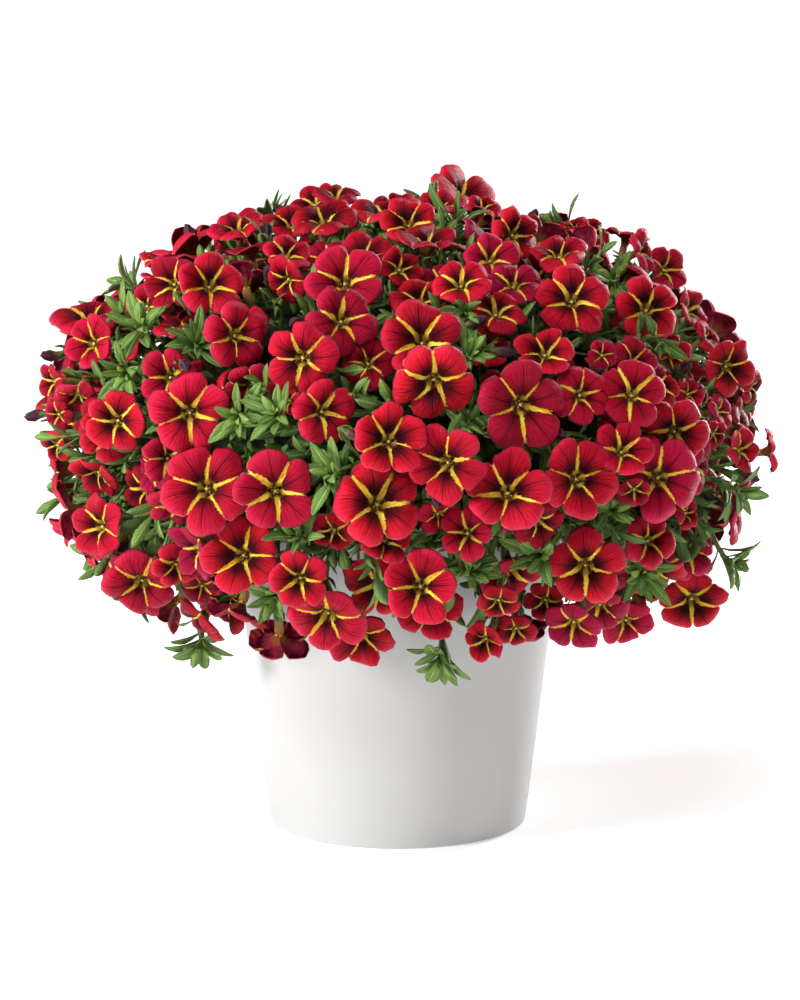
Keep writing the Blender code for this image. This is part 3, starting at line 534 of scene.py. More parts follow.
class Piece:
    """Points, faces and painted values of one piece while it is gathered."""

    def __init__(self, name, materials):
        self.name = name
        self.materials = materials
        self.points = []
        self.faces = []
        self.slots = []
        self.painted = {"form": [], "place": [], "tone": []}
        self.count = 0

    def add(self, points, faces, slot=0, form=(0, 0, 0), place=None, tone=(0, 0, 1)):
        points = np.asarray(points, dtype=float)
        place = points * 60 if place is None else place
        for layer, values in zip(self.painted.values(), (form, place, tone)):
            layer.append(np.broadcast_to(np.asarray(values, dtype=float), points.shape))
        self.points.append(points)
        self.faces += [[index + self.count for index in face] for face in faces]
        self.slots += [slot] * len(faces)
        self.count += len(points)

    def make(self):
        mesh = new_mesh(self.name, np.concatenate(self.points).tolist(), self.faces, self.materials)
        for name, values in self.painted.items():
            layer = mesh.attributes.new(name, "FLOAT_VECTOR", "POINT")
            layer.data.foreach_set("vector", np.concatenate(values).astype(np.float32).ravel())
        mesh.polygons.foreach_set("material_index", self.slots)
        make_smooth(mesh)
        mesh.update()
        return put_in_scene(self.name, mesh)


def shell_faces(rows, columns, turned=False, pole_first=False):
    """Faces of a shell of rows of points that each go once round, closed by a pole at each end.

    The poles are the last two points, or the first and the last. Faces look out where the rows
    go down a dome from its top. Turned, they look the other way.
    """
    start = int(pole_first)
    near_pole = 0 if pole_first else rows * columns
    last = start + (rows - 1) * columns
    faces = []
    for column in range(columns):
        after = (column + 1) % columns
        for here in range(start, last, columns):
            faces.append((here + column, here + columns + column, here + columns + after, here + after))
        faces.append((near_pole, start + column, start + after))
        faces.append((last + after, last + column, rows * columns + 1))
    return [corners[::-1] for corners in faces] if turned else faces


def polar(radius, angle, height):
    """A point by its distance from the upright axis, its angle round it and its height."""
    return Vector((radius * math.cos(angle), radius * math.sin(angle), height))


def round_frame(axis):
    """Two directions square to an axis and to each other."""
    axis = axis.normalized()
    helper = Vector((0, 0, 1)) if abs(axis.z) < 0.9 else Vector((1, 0, 0))
    across = axis.cross(helper).normalized()
    return across, axis.cross(across).normalized()


def spoke_at(frame, angle):
    """The direction at an angle in the plane of a frame's two directions."""
    return frame[0] * math.cos(angle) + frame[1] * math.sin(angle)


def ring(middle, frame, radius, sides):
    return [middle + spoke_at(frame, 2 * math.pi * side / sides) * radius for side in range(sides)]


def splay(axis, angle, opening):
    """Way along and upper side of a leaf that opens from an axis, at an angle round it."""
    spoke = spoke_at(round_frame(axis), angle)
    along = axis * math.cos(opening) + spoke * math.sin(opening)
    return along, axis * math.sin(opening) - spoke * math.cos(opening)


def scatter(dice):
    """A random vector with each of its three values spread by about 1."""
    return Vector([dice.gauss(0, 1) for _ in range(3)])


def add_tube(piece, path, radii, sides, slot, seed=0.0):
    """A closed round tube along a path."""
    last = len(path) - 1
    across = None
    points = []
    form = []
    for index, (middle, radius) in enumerate(zip(path, radii)):
        along = (path[min(index + 1, last)] - path[max(index - 1, 0)]).normalized()
        if across is None:
            across = round_frame(along)[0]
        across = (across - along * across.dot(along)).normalized()
        points += ring(middle, (across, along.cross(across)), radius, sides)
        form += [(abs(side / sides * 2 - 1), index / last, 0) for side in range(sides)]
    points += [path[0], path[-1]]
    form += [(0, 0, 0), (0, 1, 0)]
    place = [point * 90 + Vector((seed, 0, 0)) for point in points]
    piece.add(points, shell_faces(len(path), sides, turned=True), slot, form, place)


def bezier(first, second, third, fourth, steps):
    path = []
    for step in range(steps + 1):
        t = step / steps
        back = 1 - t
        path.append(
            first * back ** 3 + second * 3 * back ** 2 * t + third * 3 * back * t ** 2 + fourth * t ** 3
        )
    return path


def with_poles(first, rows, last):
    """Rows of points in one list, between a pole at each end."""
    return np.concatenate(([first], rows.reshape(-1, 3), [last]))


class Corolla:
    """The columns and rows of a bloom's face and back, fine or plain."""

    def __init__(self, lobe_columns, face_steps, back_steps):
        degrees = np.array([lobe * LOBE_ANGLE + column for lobe in range(LOBES) for column in lobe_columns])
        within = degrees % LOBE_ANGLE
        from_crease = np.minimum(within, LOBE_ANGLE - within)
        front, back = len(face_steps), len(back_steps)
        self.angles = np.radians(degrees)
        self.near = 1 - from_crease / (LOBE_ANGLE / 2)
        self.reach = NOTCH_REACH + LOBE_REACH * np.abs(np.sin(np.radians(2.5 * degrees))) ** 0.50
        self.lobe = degrees // LOBE_ANGLE
        self.bulge = np.sin(np.pi * within / LOBE_ANGLE)
        self.tilt = np.sin(2 * np.pi * within / LOBE_ANGLE)
        self.crease = np.round(degrees / LOBE_ANGLE).astype(int) % LOBES
        self.nearest = np.concatenate(([0], np.tile(self.crease, front + back), [0]))
        self.step = np.array(face_steps + back_steps)[:, None]
        self.aside = self.step * np.sin(np.radians(from_crease))
        self.drop = np.append(np.zeros(front), np.interp(-np.array(back_steps), BACK_AT, BACK_DROPS))[:, None]
        self.front = np.repeat((1, 0), (1 + front * len(degrees), 1 + back * len(degrees)))
        form = np.stack(np.broadcast_arrays(self.near, self.step, self.aside), axis=-1)
        self.form = with_poles((0, 0, 0), form, (0, 0, 0))
        self.faces = shell_faces(front + back, len(degrees), pole_first=True)


FINE_COROLLA = Corolla(LOBE_COLUMNS, FACE_STEPS, BACK_STEPS)
PLAIN_COROLLA = Corolla(PLAIN_COLUMNS, PLAIN_STEPS, BACK_STEPS[1::2])


def face_lift(corolla, waves, puff, curl, lobe_lift, lobe_twist):
    """Height of the bloom's face over its plane, for each step and column."""
    step = corolla.step
    ramp = np.clip((step - 0.14) / 0.40, 0, 1)
    ramp = ramp * ramp * (3 - 2 * ramp)
    crease = np.exp(-(corolla.aside / CREASE_WIDTH) ** 2)
    lift = np.interp(step, FACE_STEPS, FACE_LIFTS)
    lift = lift + puff * ramp * (corolla.bulge ** 0.8 - 0.55) * np.clip(1.25 - step * 0.5, 0, 1)
    lift -= CREASE_DEPTH * ramp * crease
    lift += curl * np.clip((step - 0.55) / 0.45, 0, 1) ** 2 * (0.4 + 0.6 * corolla.bulge)
    lift += lobe_lift[corolla.lobe] * step ** 2 * corolla.bulge
    lift += lobe_twist[corolla.lobe] * step ** 2 * corolla.tilt
    for count, phase, size in waves:
        lift += size * np.sin(count * corolla.angles + phase) * step ** 3
    return lift


def each_lobe(dice, low, high):
    return np.array([dice.uniform(low, high) for _ in range(LOBES)])


def add_bloom(piece, bloom, dice, corolla):
    """One five-lobed trumpet with its tube, calyx and stalk."""
    wild = dice.choice((0.8, 1.1, 1.5, 2.2))
    puff = dice.uniform(0.12, 0.20)
    curl = dice.uniform(-0.26, 0.04)
    waves = [
        (dice.choice(counts), dice.uniform(*ANY_ANGLE), dice.uniform(*sizes))
        for counts, sizes in MARGIN_WAVES
    ]
    lobe_lift = each_lobe(dice, -0.08, 0.07) * wild
    if dice.random() < 0.6:
        lobe_lift[dice.randrange(LOBES)] += dice.choice((-0.34, -0.18, 0.16, 0.26))
    highest = HIGHEST_LOBE if bloom.centre.z < CROWN_HEIGHT else CROWN_LOBE
    lobe_lift = np.clip(lobe_lift, LOWEST_LOBE, highest)
    lobe_twist = each_lobe(dice, -0.07, 0.07) * wild
    lobe_reach = each_lobe(dice, -0.09, 0.03)
    lobe_skew = each_lobe(dice, -0.06, 0.06)
    notch_reach = each_lobe(dice, -0.09, 0.08)
    crease_bend = each_lobe(dice, -0.16, 0.16) * wild
    ray_width = each_lobe(dice, 0.6, 1.2) * dice.uniform(0.8, 1.15)

    reach = corolla.reach + lobe_reach[corolla.lobe] * corolla.bulge
    reach += notch_reach[corolla.crease] * (1 - corolla.bulge) ** 2
    reach += lobe_skew[corolla.lobe] * corolla.tilt
    for count, phase, size in waves[1:]:
        reach += size * np.cos(count * corolla.angles + phase)
    bend = crease_bend[corolla.crease] * corolla.near

    lift = face_lift(corolla, waves, puff, curl, lobe_lift, lobe_twist) - corolla.drop
    along = corolla.step * reach
    angles = corolla.angles + bend * (corolla.step - 0.25) * (1.2 - 0.4 * corolla.step)
    rows = np.stack((along * np.cos(angles), along * np.sin(angles), lift), axis=-1)
    local = with_poles((0, 0, THROAT_POLE), rows, (0, 0, BACK_POLE))
    world = local @ bloom_axes(bloom) * bloom.radius + np.array(bloom.centre)
    tones = np.array((bloom.dark, dice.random(), 1)) * np.ones((len(local), 1))
    tones[:, 2] = corolla.front
    seed = dice.uniform(0, 90)
    place = local + np.array((seed, seed * 0.7, 0))
    place[:, 2] = ray_width[corolla.nearest]
    piece.add(world, corolla.faces, PETAL, corolla.form, place, tones)
    add_heart(piece, bloom, dice)
    add_stalk(piece, bloom, dice)


def bloom_axes(bloom):
    across = (bloom.across - bloom.face * bloom.across.dot(bloom.face)).normalized()
    return np.array([tuple(across), tuple(bloom.face.cross(across)), tuple(bloom.face)])


def lean_bloom(bloom, dice):
    """Turns a bloom a little away from its plain direction."""
    throat = bloom.centre - bloom.face * bloom.radius * THROAT_DEPTH
    bloom.face = (bloom.face + scatter(dice) * BLOOM_LEAN).normalized()
    bloom.centre = throat + bloom.face * bloom.radius * THROAT_DEPTH


def add_ball(piece, middle, radius, slot, stretch=1.0, axis=Vector((0, 0, 1)), sides=6):
    """A small ball with three rings, or with one where it has few sides."""
    frame = round_frame(axis)
    pole = axis * radius * stretch
    rings = ((-0.6, 0.8), (0.2, 1.0), (0.75, 0.65)) if sides > 4 else ((0, 1.0),)
    points = [middle - pole]
    for height, wide in rings:
        points += ring(middle + pole * height, frame, radius * wide, sides)
    points.append(middle + pole)
    piece.add(points, shell_faces(len(rings), sides, turned=True, pole_first=True), slot)


def add_heart(piece, bloom, dice):
    """The pale stigma and the anthers round it, down in the throat."""
    face = bloom.face
    frame = round_frame(face)
    base = bloom.centre - face * bloom.radius * 0.27
    add_ball(piece, base, 0.62 * MM, HEART, 0.8, face)
    start = dice.uniform(*ANY_ANGLE)
    for side in range(LOBES):
        angle = start + 2 * math.pi * (side + dice.uniform(-0.25, 0.25)) / LOBES
        aside = spoke_at(frame, angle) * dice.uniform(0.8, 1.5) * MM
        down = face * dice.uniform(0.3, 1.2) * MM
        add_ball(piece, base + aside - down, 0.34 * MM, HEART, 0.9, face, 4)


def add_stalk(piece, bloom, dice):
    """The flower's tube from the neck, the calyx round its end, and the stalk to the shoot."""
    face = bloom.face
    neck = bloom.centre - face * bloom.radius * TUBE_START
    foot = bloom.foot
    span = (foot - neck).length
    length = min(TUBE_LENGTH, span * 0.62)
    pull = min(span * 0.4, TUBE_LENGTH)
    rise = (neck - foot).normalized() * span * 0.3
    path = bezier(neck, neck - face * pull, foot + rise, foot, STALK_STEPS)
    reached = [0]
    for before, after in zip(path, path[1:]):
        reached.append(reached[-1] + (after - before).length)
    tube_end = max(3, min(sum(1 for value in reached if value < length), 12))
    start = bloom.radius * NECK_RADIUS
    radii = []
    for value in reached[:tube_end + 1]:
        share = min(value / length, 1)
        radii.append(CALYX_RADIUS + (start - CALYX_RADIUS) * (1 - share) ** 1.3)
    add_tube(piece, path[:tube_end + 1], radii, 8, TUBE, dice.uniform(0, 50))
    end = path[tube_end]
    add_calyx(piece, end, (path[tube_end - 1] - end).normalized(), dice)
    stalk = path[tube_end:]
    add_tube(piece, stalk, [STALK_RADIUS * 1.3] + [STALK_RADIUS] * (len(stalk) - 1), 5, SPRAY_STALK)


def add_calyx(piece, middle, axis, dice):
    """Five narrow green sepals that open a little from the tube."""
    frame = round_frame(axis)
    start = dice.uniform(*ANY_ANGLE)
    for side in range(LOBES):
        angle = start + 2 * math.pi * side / LOBES
        along, above = splay(axis, angle, dice.uniform(0.28, 0.6))
        root = middle + spoke_at(frame, angle) * 0.7 * MM
        blade = (root, along.normalized(), -above.normalized(), SEPAL_LENGTH * dice.uniform(0.8, 1.1))
        add_leaf(piece, dice, blade, SEPAL_WIDTH, SMALL_LEAF, 0.0, SPRAY_LEAF)


def add_bud(piece, bud, dice):
    """A closed flower: a folded, puckered spindle with its calyx and stalk."""
    face = bud.face
    frame = round_frame(face)
    bend = (frame[0] * dice.uniform(-1, 1) + frame[1] * dice.uniform(-1, 1)) * 1.2 * MM
    twist = dice.uniform(0.5, 1.2)
    points = []
    form = []
    for share, wide in zip(BUD_STEPS, BUD_WIDTHS):
        middle = bud.tip - face * (share * BUD_LENGTH + 0.3 * MM) + bend * (share * 4 * (1 - share) - 0.4)
        for column in range(BUD_COLUMNS):
            angle = 2 * math.pi * column / BUD_COLUMNS + twist * (1 - share)
            fold = 0.5 + 0.5 * math.cos(column * 2 * math.pi / 3)
            size = BUD_RADIUS * wide * (1 - 0.60 * (1 - fold) * (1 - 0.5 * share))
            size *= 1 + dice.uniform(-0.22, 0.22) * (1 - share)
            points.append(middle + spoke_at(frame, angle) * size)
            form.append((fold, share, 0))
    end = bud.tip - face * BUD_LENGTH * 0.95
    points += [bud.tip + face * 0.1 * MM, end]
    form += [(1, 0, 0), (0, 1, 0)]
    seed = Vector((dice.uniform(0, 50), 0, 0))
    place = [point * 110 + seed for point in points]
    piece.add(points, shell_faces(len(BUD_STEPS), BUD_COLUMNS), BUD, form, place)
    foot = bud.foot
    span = (foot - end).length
    path = bezier(end + face * 2 * MM, end - face * span * 0.35, foot + (end - foot) * 0.3, foot, 8)
    add_tube(piece, path, [1.0 * MM] + [STALK_RADIUS] * 8, 6, SPRAY_STALK)
    add_calyx(piece, end, face, dice)


def add_leaf(piece, dice, blade, width, outline, young, slot=LEAF):
    """A keeled leaf, closed all round. Its blade is a root, the ways along and up, and a length."""
    root, along, above, length = blade
    rows, widths = outline
    side = along.cross(above)
    fine = outline is not SMALL_LEAF
    shares = (-1, -0.5, 0, 0.5, 1) if fine else (-1, 0, 1)
    under = (0.5, 0, -0.5) if fine else (0,)
    section = [(share, 1) for share in shares] + [(share, 0) for share in under]
    bow = dice.uniform(0.0, 0.10)
    wave = dice.uniform(*ANY_ANGLE)
    ripple = dice.uniform(0.0, 0.05) if fine else 0
    bend = dice.uniform(-0.06, 0.06)
    keel = dice.uniform(0.08, 0.20)
    light = min(max(young + dice.uniform(-0.18, 0.18), 0), 1)
    hue = dice.random()
    points = []
    form = []
    for t, wide in zip(rows, widths):
        spine = root + along * length * t
        spine += above * length * (bow * math.sin(math.pi * t) - LEAF_LOWERED * t * t)
        spine += side * length * bend * t * t
        for share, top in section:
            rise = keel * wide * abs(share) + ripple * abs(share) * math.sin(9 * t + wave + share)
            drop = 0 if top else LEAF_THICKNESS
            points.append(spine + side * width / 2 * wide * share + above * (rise * width - drop))
            form.append((share, t, 0))
    tip = root + along * length - above * length * LEAF_LOWERED + side * length * bend
    points += [root - along * 0.2 * MM, tip]
    form += [(0, 0, 0), (0, 1, 0)]
    tones = [(light, hue, top) for _, top in section] * len(rows) + [(light, hue, 1)] * 2
    seed = Vector((dice.uniform(0, 50), 0, 0))
    place = [(point - root) * 120 + seed for point in points]
    piece.add(points, shell_faces(len(rows), len(section), turned=True), slot, form, place, tones)


def grow_leaf(piece, dice, space, root, way, lengths, width, outline, young, slot=LEAF):
    """A leaf from a root, with a random length in mm, where the space for it is clear.

    Its way is the way along and the upper side. Its width is a share of its length, or a span
    to draw the share from.
    """
    blade = (root, *way, dice.uniform(*lengths) * MM)
    if space is None or space.clear(*blade):
        share = dice.uniform(*width) if isinstance(width, tuple) else width
        add_leaf(piece, dice, blade, blade[-1] * share, outline, young, slot)


def welded(item):
    """Points of a CAD node, its doubled corners joined, with the points next to each and the faces."""
    places = {}
    points = []
    number_of = []
    for vertex in item.data.vertices:
        key = tuple(round(value * 100000) for value in vertex.co)
        if key not in places:
            places[key] = len(points)
            points.append(vertex.co.copy())
        number_of.append(places[key])
    near = [set() for _ in points]
    faces = []
    for face in item.data.polygons:
        corners = [number_of[index] for index in face.vertices]
        for here, there in zip(corners, corners[1:] + corners[:1]):
            if here != there:
                near[here].add(there)
                near[there].add(here)
        if len(set(corners)) == len(corners):
            faces.append(corners)
    return points, near, faces


def mean(points):
    return sum(points, Vector((0, 0, 0))) / len(points)


def read_blooms(points, near):
    """Centre, face, radius and stalk end of each trumpet in a spray."""
    found = []
    for index, around in enumerate(near):
        throat = points[index]
        spokes = {other: points[other] - throat for other in around}
        far = [spoke.length for spoke in spokes.values()]
        if len(around) < 9 or min(far) / max(far) <= 0.7:
            continue
        face = (mean([points[other] for other in around]) - throat).normalized()
        flat = {other: spoke - face * spoke.dot(face) for other, spoke in spokes.items()}
        radius = max(spoke.length for spoke in flat.values())
        notch = min(around, key=lambda other: flat[other].length)
        necks = [
            other for other in range(len(points))
            if other != index and other not in around and len(near[other] & around) >= 3
        ]
        ends = set()
        for neck in necks:
            ends |= near[neck] - around - set(necks)
        foot = mean([points[other] for other in ends]) if ends else throat - face * 16.7 * MM
        centre = throat + face * radius * THROAT_DEPTH
        across = flat[notch].normalized()
        found.append(SimpleNamespace(centre=centre, face=face, across=across, radius=radius, foot=foot))
    return found


def read_tips(points, near):
    """Points with just three others round them that also touch each other."""
    for index, around in enumerate(near):
        if len(around) == 3:
            first, second, third = around
            if second in near[first] and third in near[first] and third in near[second]:
                yield points[index], [first, second, third]


def read_buds(points, near):
    """Tip, direction and stalk end of each bud in a spray."""
    found = []
    for tip, around in read_tips(points, near):
        far = [(points[other] - tip).length for other in around]
        if max(far) - min(far) > 0.3 * MM or not 3.5 * MM < max(far) < 5 * MM:
            continue
        face = (tip - mean([points[other] for other in around])).normalized()
        bases = set().union(*(near[other] for other in around)) - set(around)
        bases = [other for other in bases if (points[other] - tip).length > 8 * MM]
        ends = set().union(*(near[base] for base in bases)) - set(bases) - set(around)
        ends = [points[other] for other in ends if (points[other] - tip).length > 13 * MM]
        foot = mean(ends) if ends else tip - face * 20 * MM
        found.append(SimpleNamespace(tip=tip, face=face, foot=foot))
    return found


def read_leaves(points, near):
    """Root, ways along and up, length and width of each leaf of the tufts."""
    found = []
    for tip, (first, second, third) in read_tips(points, near):
        trios = ((first, second, third), (second, third, first), (first, third, second))
        widest = max(trios, key=lambda trio: (points[trio[0]] - points[trio[1]]).length)
        left, right, keel = (points[index] for index in widest)
        width = (left - right).length
        length = width * LEAF_LENGTH / LEAF_WIDTH
        side = (right - left).normalized()
        middle = (left + right) / 2
        slope = tip - middle
        turn = math.atan((LEAF_LOWERED * length + 0.12 * width) / (0.42 * length))
        best = None
        for sign in (1, -1):
            along = Quaternion(side, sign * turn) @ slope.normalized()
            above = side.cross(along) * sign
            if (middle - keel).dot(above) > 0 and slope.dot(above) < 0:
                best = (along, above)
        if best is not None and 3 * MM < width < 9 * MM:
            along, above = best
            root = tip - along * length + above * length * LEAF_LOWERED
            found.append(((root, along, above, length), width))
    return found


def dome_normal(point):
    """The way out of the dome at a point."""
    drop = DOME_RISE if point.z > DOME_CENTRE else DOME_DROP
    value = Vector((
        point.x / DOME_RADIUS ** 2, point.y / DOME_RADIUS ** 2, (point.z - DOME_CENTRE) / drop ** 2
    ))
    return value.normalized()


def arc(out, up, radius, start, end, steps):
    """Points of a profile along an arc from one angle to another."""
    angles = [start + (end - start) * step / steps for step in range(steps + 1)]
    return [(out + radius * math.cos(angle), up + radius * math.sin(angle)) for angle in angles]


def make_pot(material):
    """The turned pot with a solid floor, a thin wall and a rounded lip."""
    inner_floor = POT_BASE_RADIUS + POT_SLOPE * POT_FLOOR - POT_WALL
    inner_top = POT_TOP_RADIUS - POT_WALL
    lip = POT_HEIGHT - POT_WALL / 2
    profile = [(POT_BASE_RADIUS - 5 * MM, POT_FOOT), (POT_BASE_RADIUS - 4 * MM, 0)]
    profile += arc(POT_BASE_RADIUS - POT_ROUND, POT_ROUND, POT_ROUND, -math.pi / 2, 0, 5)
    for step in range(1, 12):
        height = POT_ROUND + (lip - POT_ROUND) * step / 12
        profile.append((POT_BASE_RADIUS + POT_SLOPE * height, height))
    profile += arc(POT_TOP_RADIUS - POT_WALL / 2, lip, POT_WALL / 2, 0, math.pi, 8)
    for step in range(1, 8):
        share = step / 8
        profile.append((inner_top + (inner_floor - inner_top) * share, lip + (POT_FLOOR - lip) * share))
    profile.append((inner_floor - 1 * MM, POT_FLOOR))
    points = []
    for radius, height in profile:
        points += [polar(radius, 2 * math.pi * side / POT_SIDES, height) for side in range(POT_SIDES)]
    points += [(0, 0, POT_FOOT), (0, 0, POT_FLOOR)]
    piece = Piece("pot_body", [material])
    piece.add(points, shell_faces(len(profile), POT_SIDES, turned=True))
    return piece.make()


def make_soil(material):
    """The potting mix, with a crumbly top and a hole for the crown."""
    rows = [(SOIL_HOLE, SOIL_HOLE_BOTTOM, 0), (SOIL_HOLE, 100 * MM, 0)]
    top_radius = POT_BASE_RADIUS + POT_SLOPE * SOIL_TOP - SOIL_GAP
    for step in range(SOIL_RINGS + 1):
        radius = SOIL_HOLE + (top_radius - 1 * MM - SOIL_HOLE) * step / SOIL_RINGS
        rows.append((radius, SOIL_TOP, 1))
    rows.append((top_radius, SOIL_TOP - 2 * MM, 0))
    for height in (90 * MM, 60 * MM, 30 * MM, SOIL_BOTTOM):
        rows.append((POT_BASE_RADIUS + POT_SLOPE * height - SOIL_GAP, height, 0))
    points = []
    for radius, height, rough in rows:
        for side in range(SOIL_SIDES):
            point = polar(radius, 2 * math.pi * side / SOIL_SIDES, height)
            point.z += rough * (1.3 * MM * noise.noise(point * 160) + 0.7 * MM * noise.noise(point * 420))
            points.append(point)
    points += [Vector((0, 0, SOIL_HOLE_BOTTOM)), Vector((0, 0, SOIL_BOTTOM))]
    piece = Piece("soil_fill", [material])
    piece.add(points, shell_faces(len(rows), SOIL_SIDES))
    return piece.make()


def make_crumbs(material):
    """Perlite and bark crumbs that lie on the soil."""
    dice = random.Random(SEED + 1)
    piece = Piece("soil_crumbs", [material])
    for _ in range(CRUMB_COUNT):
        angle = dice.uniform(0, 2 * math.pi)
        middle = polar(math.sqrt(dice.uniform(0.03, 1)) * CRUMB_REACH, angle, SOIL_TOP + 0.3 * MM)
        axis = scatter(dice).normalized()
        add_ball(piece, middle, dice.uniform(0.6, 1.5) * MM, 0, dice.uniform(0.6, 1.3), axis)
    return piece.make()


def make_stems(node, material):
    """The crown and main stems, smoothed from the frame's solid."""
    points, _, faces = welded(node)
    item = put_in_scene("main_stems", new_mesh("main_stems", points, faces, [material]))
    smooth = item.modifiers.new("smooth", "SUBSURF")
    smooth.levels = 2
    smooth.render_levels = 2
    bpy.context.view_layer.update()
    shown = bpy.data.meshes.new_from_object(item.evaluated_get(bpy.context.evaluated_depsgraph_get()))
    item.modifiers.clear()
    item.data = shown
    make_smooth(shown)
    return item


def mound_point(share, angle, inset=0.0):
    """A point of the mound's outside: share 0 at its top, 1 at its bottom edge."""
    tilt = share * (math.pi / 2 + math.asin((DOME_CENTRE - MOUND_BOTTOM) / MOUND_DROP))
    tall = MOUND_RISE - inset if tilt < math.pi / 2 else MOUND_DROP
    radius = (MOUND_RADIUS - inset) * math.sin(tilt)
    return polar(radius, angle, DOME_CENTRE + math.cos(tilt) * tall)


def edge_foot(place):
    """The foot of a shoot at the mound's lower edge, straight inside a place."""
    return mound_point(0.97, math.atan2(place.y, place.x), 3 * MM)


def make_mound(material):
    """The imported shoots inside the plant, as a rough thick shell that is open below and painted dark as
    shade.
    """
    rows = [(row / MOUND_ROWS, 0.0) for row in range(1, MOUND_ROWS + 1)]
    rows += [(row / MOUND_ROWS, MOUND_WALL - 1.5 * MM) for row in range(MOUND_ROWS, 0, -2)]
    points = []
    for share, inset in rows:
        for side in range(MOUND_SIDES):
            point = mound_point(share, 2 * math.pi * side / MOUND_SIDES, inset)
            rough = 1.6 * MM * noise.noise(point * 55) + 1.1 * MM * noise.noise(point * 150)
            points.append(point + dome_normal(point) * (rough - 1.2 * MM) * (1 if inset == 0 else -1))
    points += [mound_point(0, 0, 1 * MM), mound_point(0, 0, MOUND_WALL)]
    piece = Piece("packed_shoots_painted_shade", [material])
    piece.add(points, shell_faces(len(rows), MOUND_SIDES))
    return piece.make()


def make_sprays(nodes, materials, ground, grown):
    """Each spray of the frame again, with fine blooms, buds and stalks. Grown gathers the blooms."""
    dice = random.Random(SEED)
    made = []
    for name in sorted(nodes):
        if not name.startswith("flower_spray"):
            continue
        points, near, _ = welded(nodes[name])
        piece = Piece("fine_" + name, materials)
        for bloom in read_blooms(points, near):
            # some random darkening of the outer blooms, for fading
            bloom.dark = max(0, dice.gauss(0.10, 0.22))
            lean_bloom(bloom, dice)
            add_bloom(piece, bloom, dice, FINE_COROLLA)
            grown.append(bloom)
        for bud in read_buds(points, near):
            add_bud(piece, bud, dice)
        add_stub(piece, [point for point in points if ground.find_nearest(point)[3] < 1.5 * MM], dice)
        made.append((piece.make(), name))
    return made


def add_stub(piece, low, dice):
    """The end of the shoot that a spray grows from, on its low points, with small leaves round it."""
    if len(low) < 3:
        return
    middle = mean(low)
    out = dome_normal(middle)
    path = [middle + out * height * MM for height in (-1, 1, 3.5, 6)]
    add_tube(piece, path, [2.0 * MM, 1.9 * MM, 1.7 * MM, 1.2 * MM], 9, SPRAY_STALK)
    start = dice.uniform(*ANY_ANGLE)
    for number in range(STUB_LEAVES):
        root = middle + out * (3 + number) * MM
        way = splay(out, start + number * LEAF_TURN, dice.uniform(0.9, 1.3))
        grow_leaf(piece, dice, None, root, way, (9, 12), 0.34, SMALL_LEAF, 0.3, SPRAY_LEAF)


def make_tufts(node, materials, space):
    """The leaves of the frame's tufts, with a few small young ones in each middle."""
    dice = random.Random(SEED + 2)
    points, near, _ = welded(node)
    piece = Piece("tuft_leaves", materials)
    hubs = {}
    for blade, width in read_leaves(points, near):
        root = blade[0]
        low = root.z < ROUND_BELOW
        add_leaf(piece, dice, blade, width * (1.15 if low else 0.74), ROUND_LEAF if low else NARROW_LEAF, 0.5)
        hubs.setdefault(tuple(round(value / (2 * MM)) for value in root), []).append(blade)
    for blades in hubs.values():
        hub = mean([root for root, _, _, _ in blades])
        face = mean([along for _, along, _, _ in blades])
        face = face.normalized() if face.length >= 0.2 else dome_normal(hub)
        add_young(piece, hub, face, dice)
        add_more(piece, hub, face, dice, space)
        path = tuft_path(hub, face, dice, space)
        add_tube(piece, path, [1.0 * MM] * len(path), 6, STALK)
        add_pairs(piece, path, dice, space)
    return piece.make()


def foot_on_mound(place, out):
    """Where a shoot that ends at a place comes out of the mound."""
    for step in range(5, 60):
        point = place - out * step * MM
        if point.z < MOUND_BOTTOM:
            break
        height = point.z - DOME_CENTRE
        tall = MOUND_RISE if height > 0 else MOUND_DROP
        if (point.x ** 2 + point.y ** 2) / MOUND_RADIUS ** 2 + (height / tall) ** 2 < 0.94:
            return point
    return edge_foot(place)


def tuft_path(hub, face, dice, space):
    """The way of a tuft's shoot from the mound, past the blooms where there is room."""
    for attempt in range(8):
        aside = scatter(dice) * attempt * 1.5 * MM
        foot = foot_on_mound(hub + aside, dome_normal(hub))
        path = bezier(foot, foot + dome_normal(foot) * 9 * MM, hub - face * 7 * MM, hub, 10)
        if space.lets_through(path):
            break
    return path


def add_young(piece, hub, face, dice):
    """Small light leaves that stand up in the middle of a tuft."""
    start = dice.uniform(*ANY_ANGLE)
    for number in range(YOUNG_LEAVES):
        way = splay(face, start + number * LEAF_TURN, 0.25 + 0.09 * number)
        length = (5.5 + 1.3 * number) * MM
        add_leaf(piece, dice, (hub, *way, length), length * 0.34, SMALL_LEAF, 0.85)


def add_more(piece, hub, face, dice, space):
    """Further broad leaves of a tuft, a little behind the first."""
    start = dice.uniform(*ANY_ANGLE)
    for number in range(MORE_LEAVES):
        root = hub - face * (1 + number * 0.7) * MM
        way = splay(face, start + number * LEAF_TURN, dice.uniform(0.45, 1.4))
        grow_leaf(piece, dice, space, root, way, (12, 17), (0.24, 0.32), NARROW_LEAF, 0.4)


def add_pairs(piece, path, dice, space):
    """Leaves in pairs down a shoot."""
    for number in range(2, len(path) - 1, 2):
        axis = (path[number + 1] - path[number - 1]).normalized()
        start = dice.uniform(*ANY_ANGLE)
        for side in range(2):
            way = splay(axis, start + math.pi * side, dice.uniform(0.9, 1.25))
            grow_leaf(piece, dice, space, path[number], way, (10, 14), 0.30, SMALL_LEAF, 0.35)


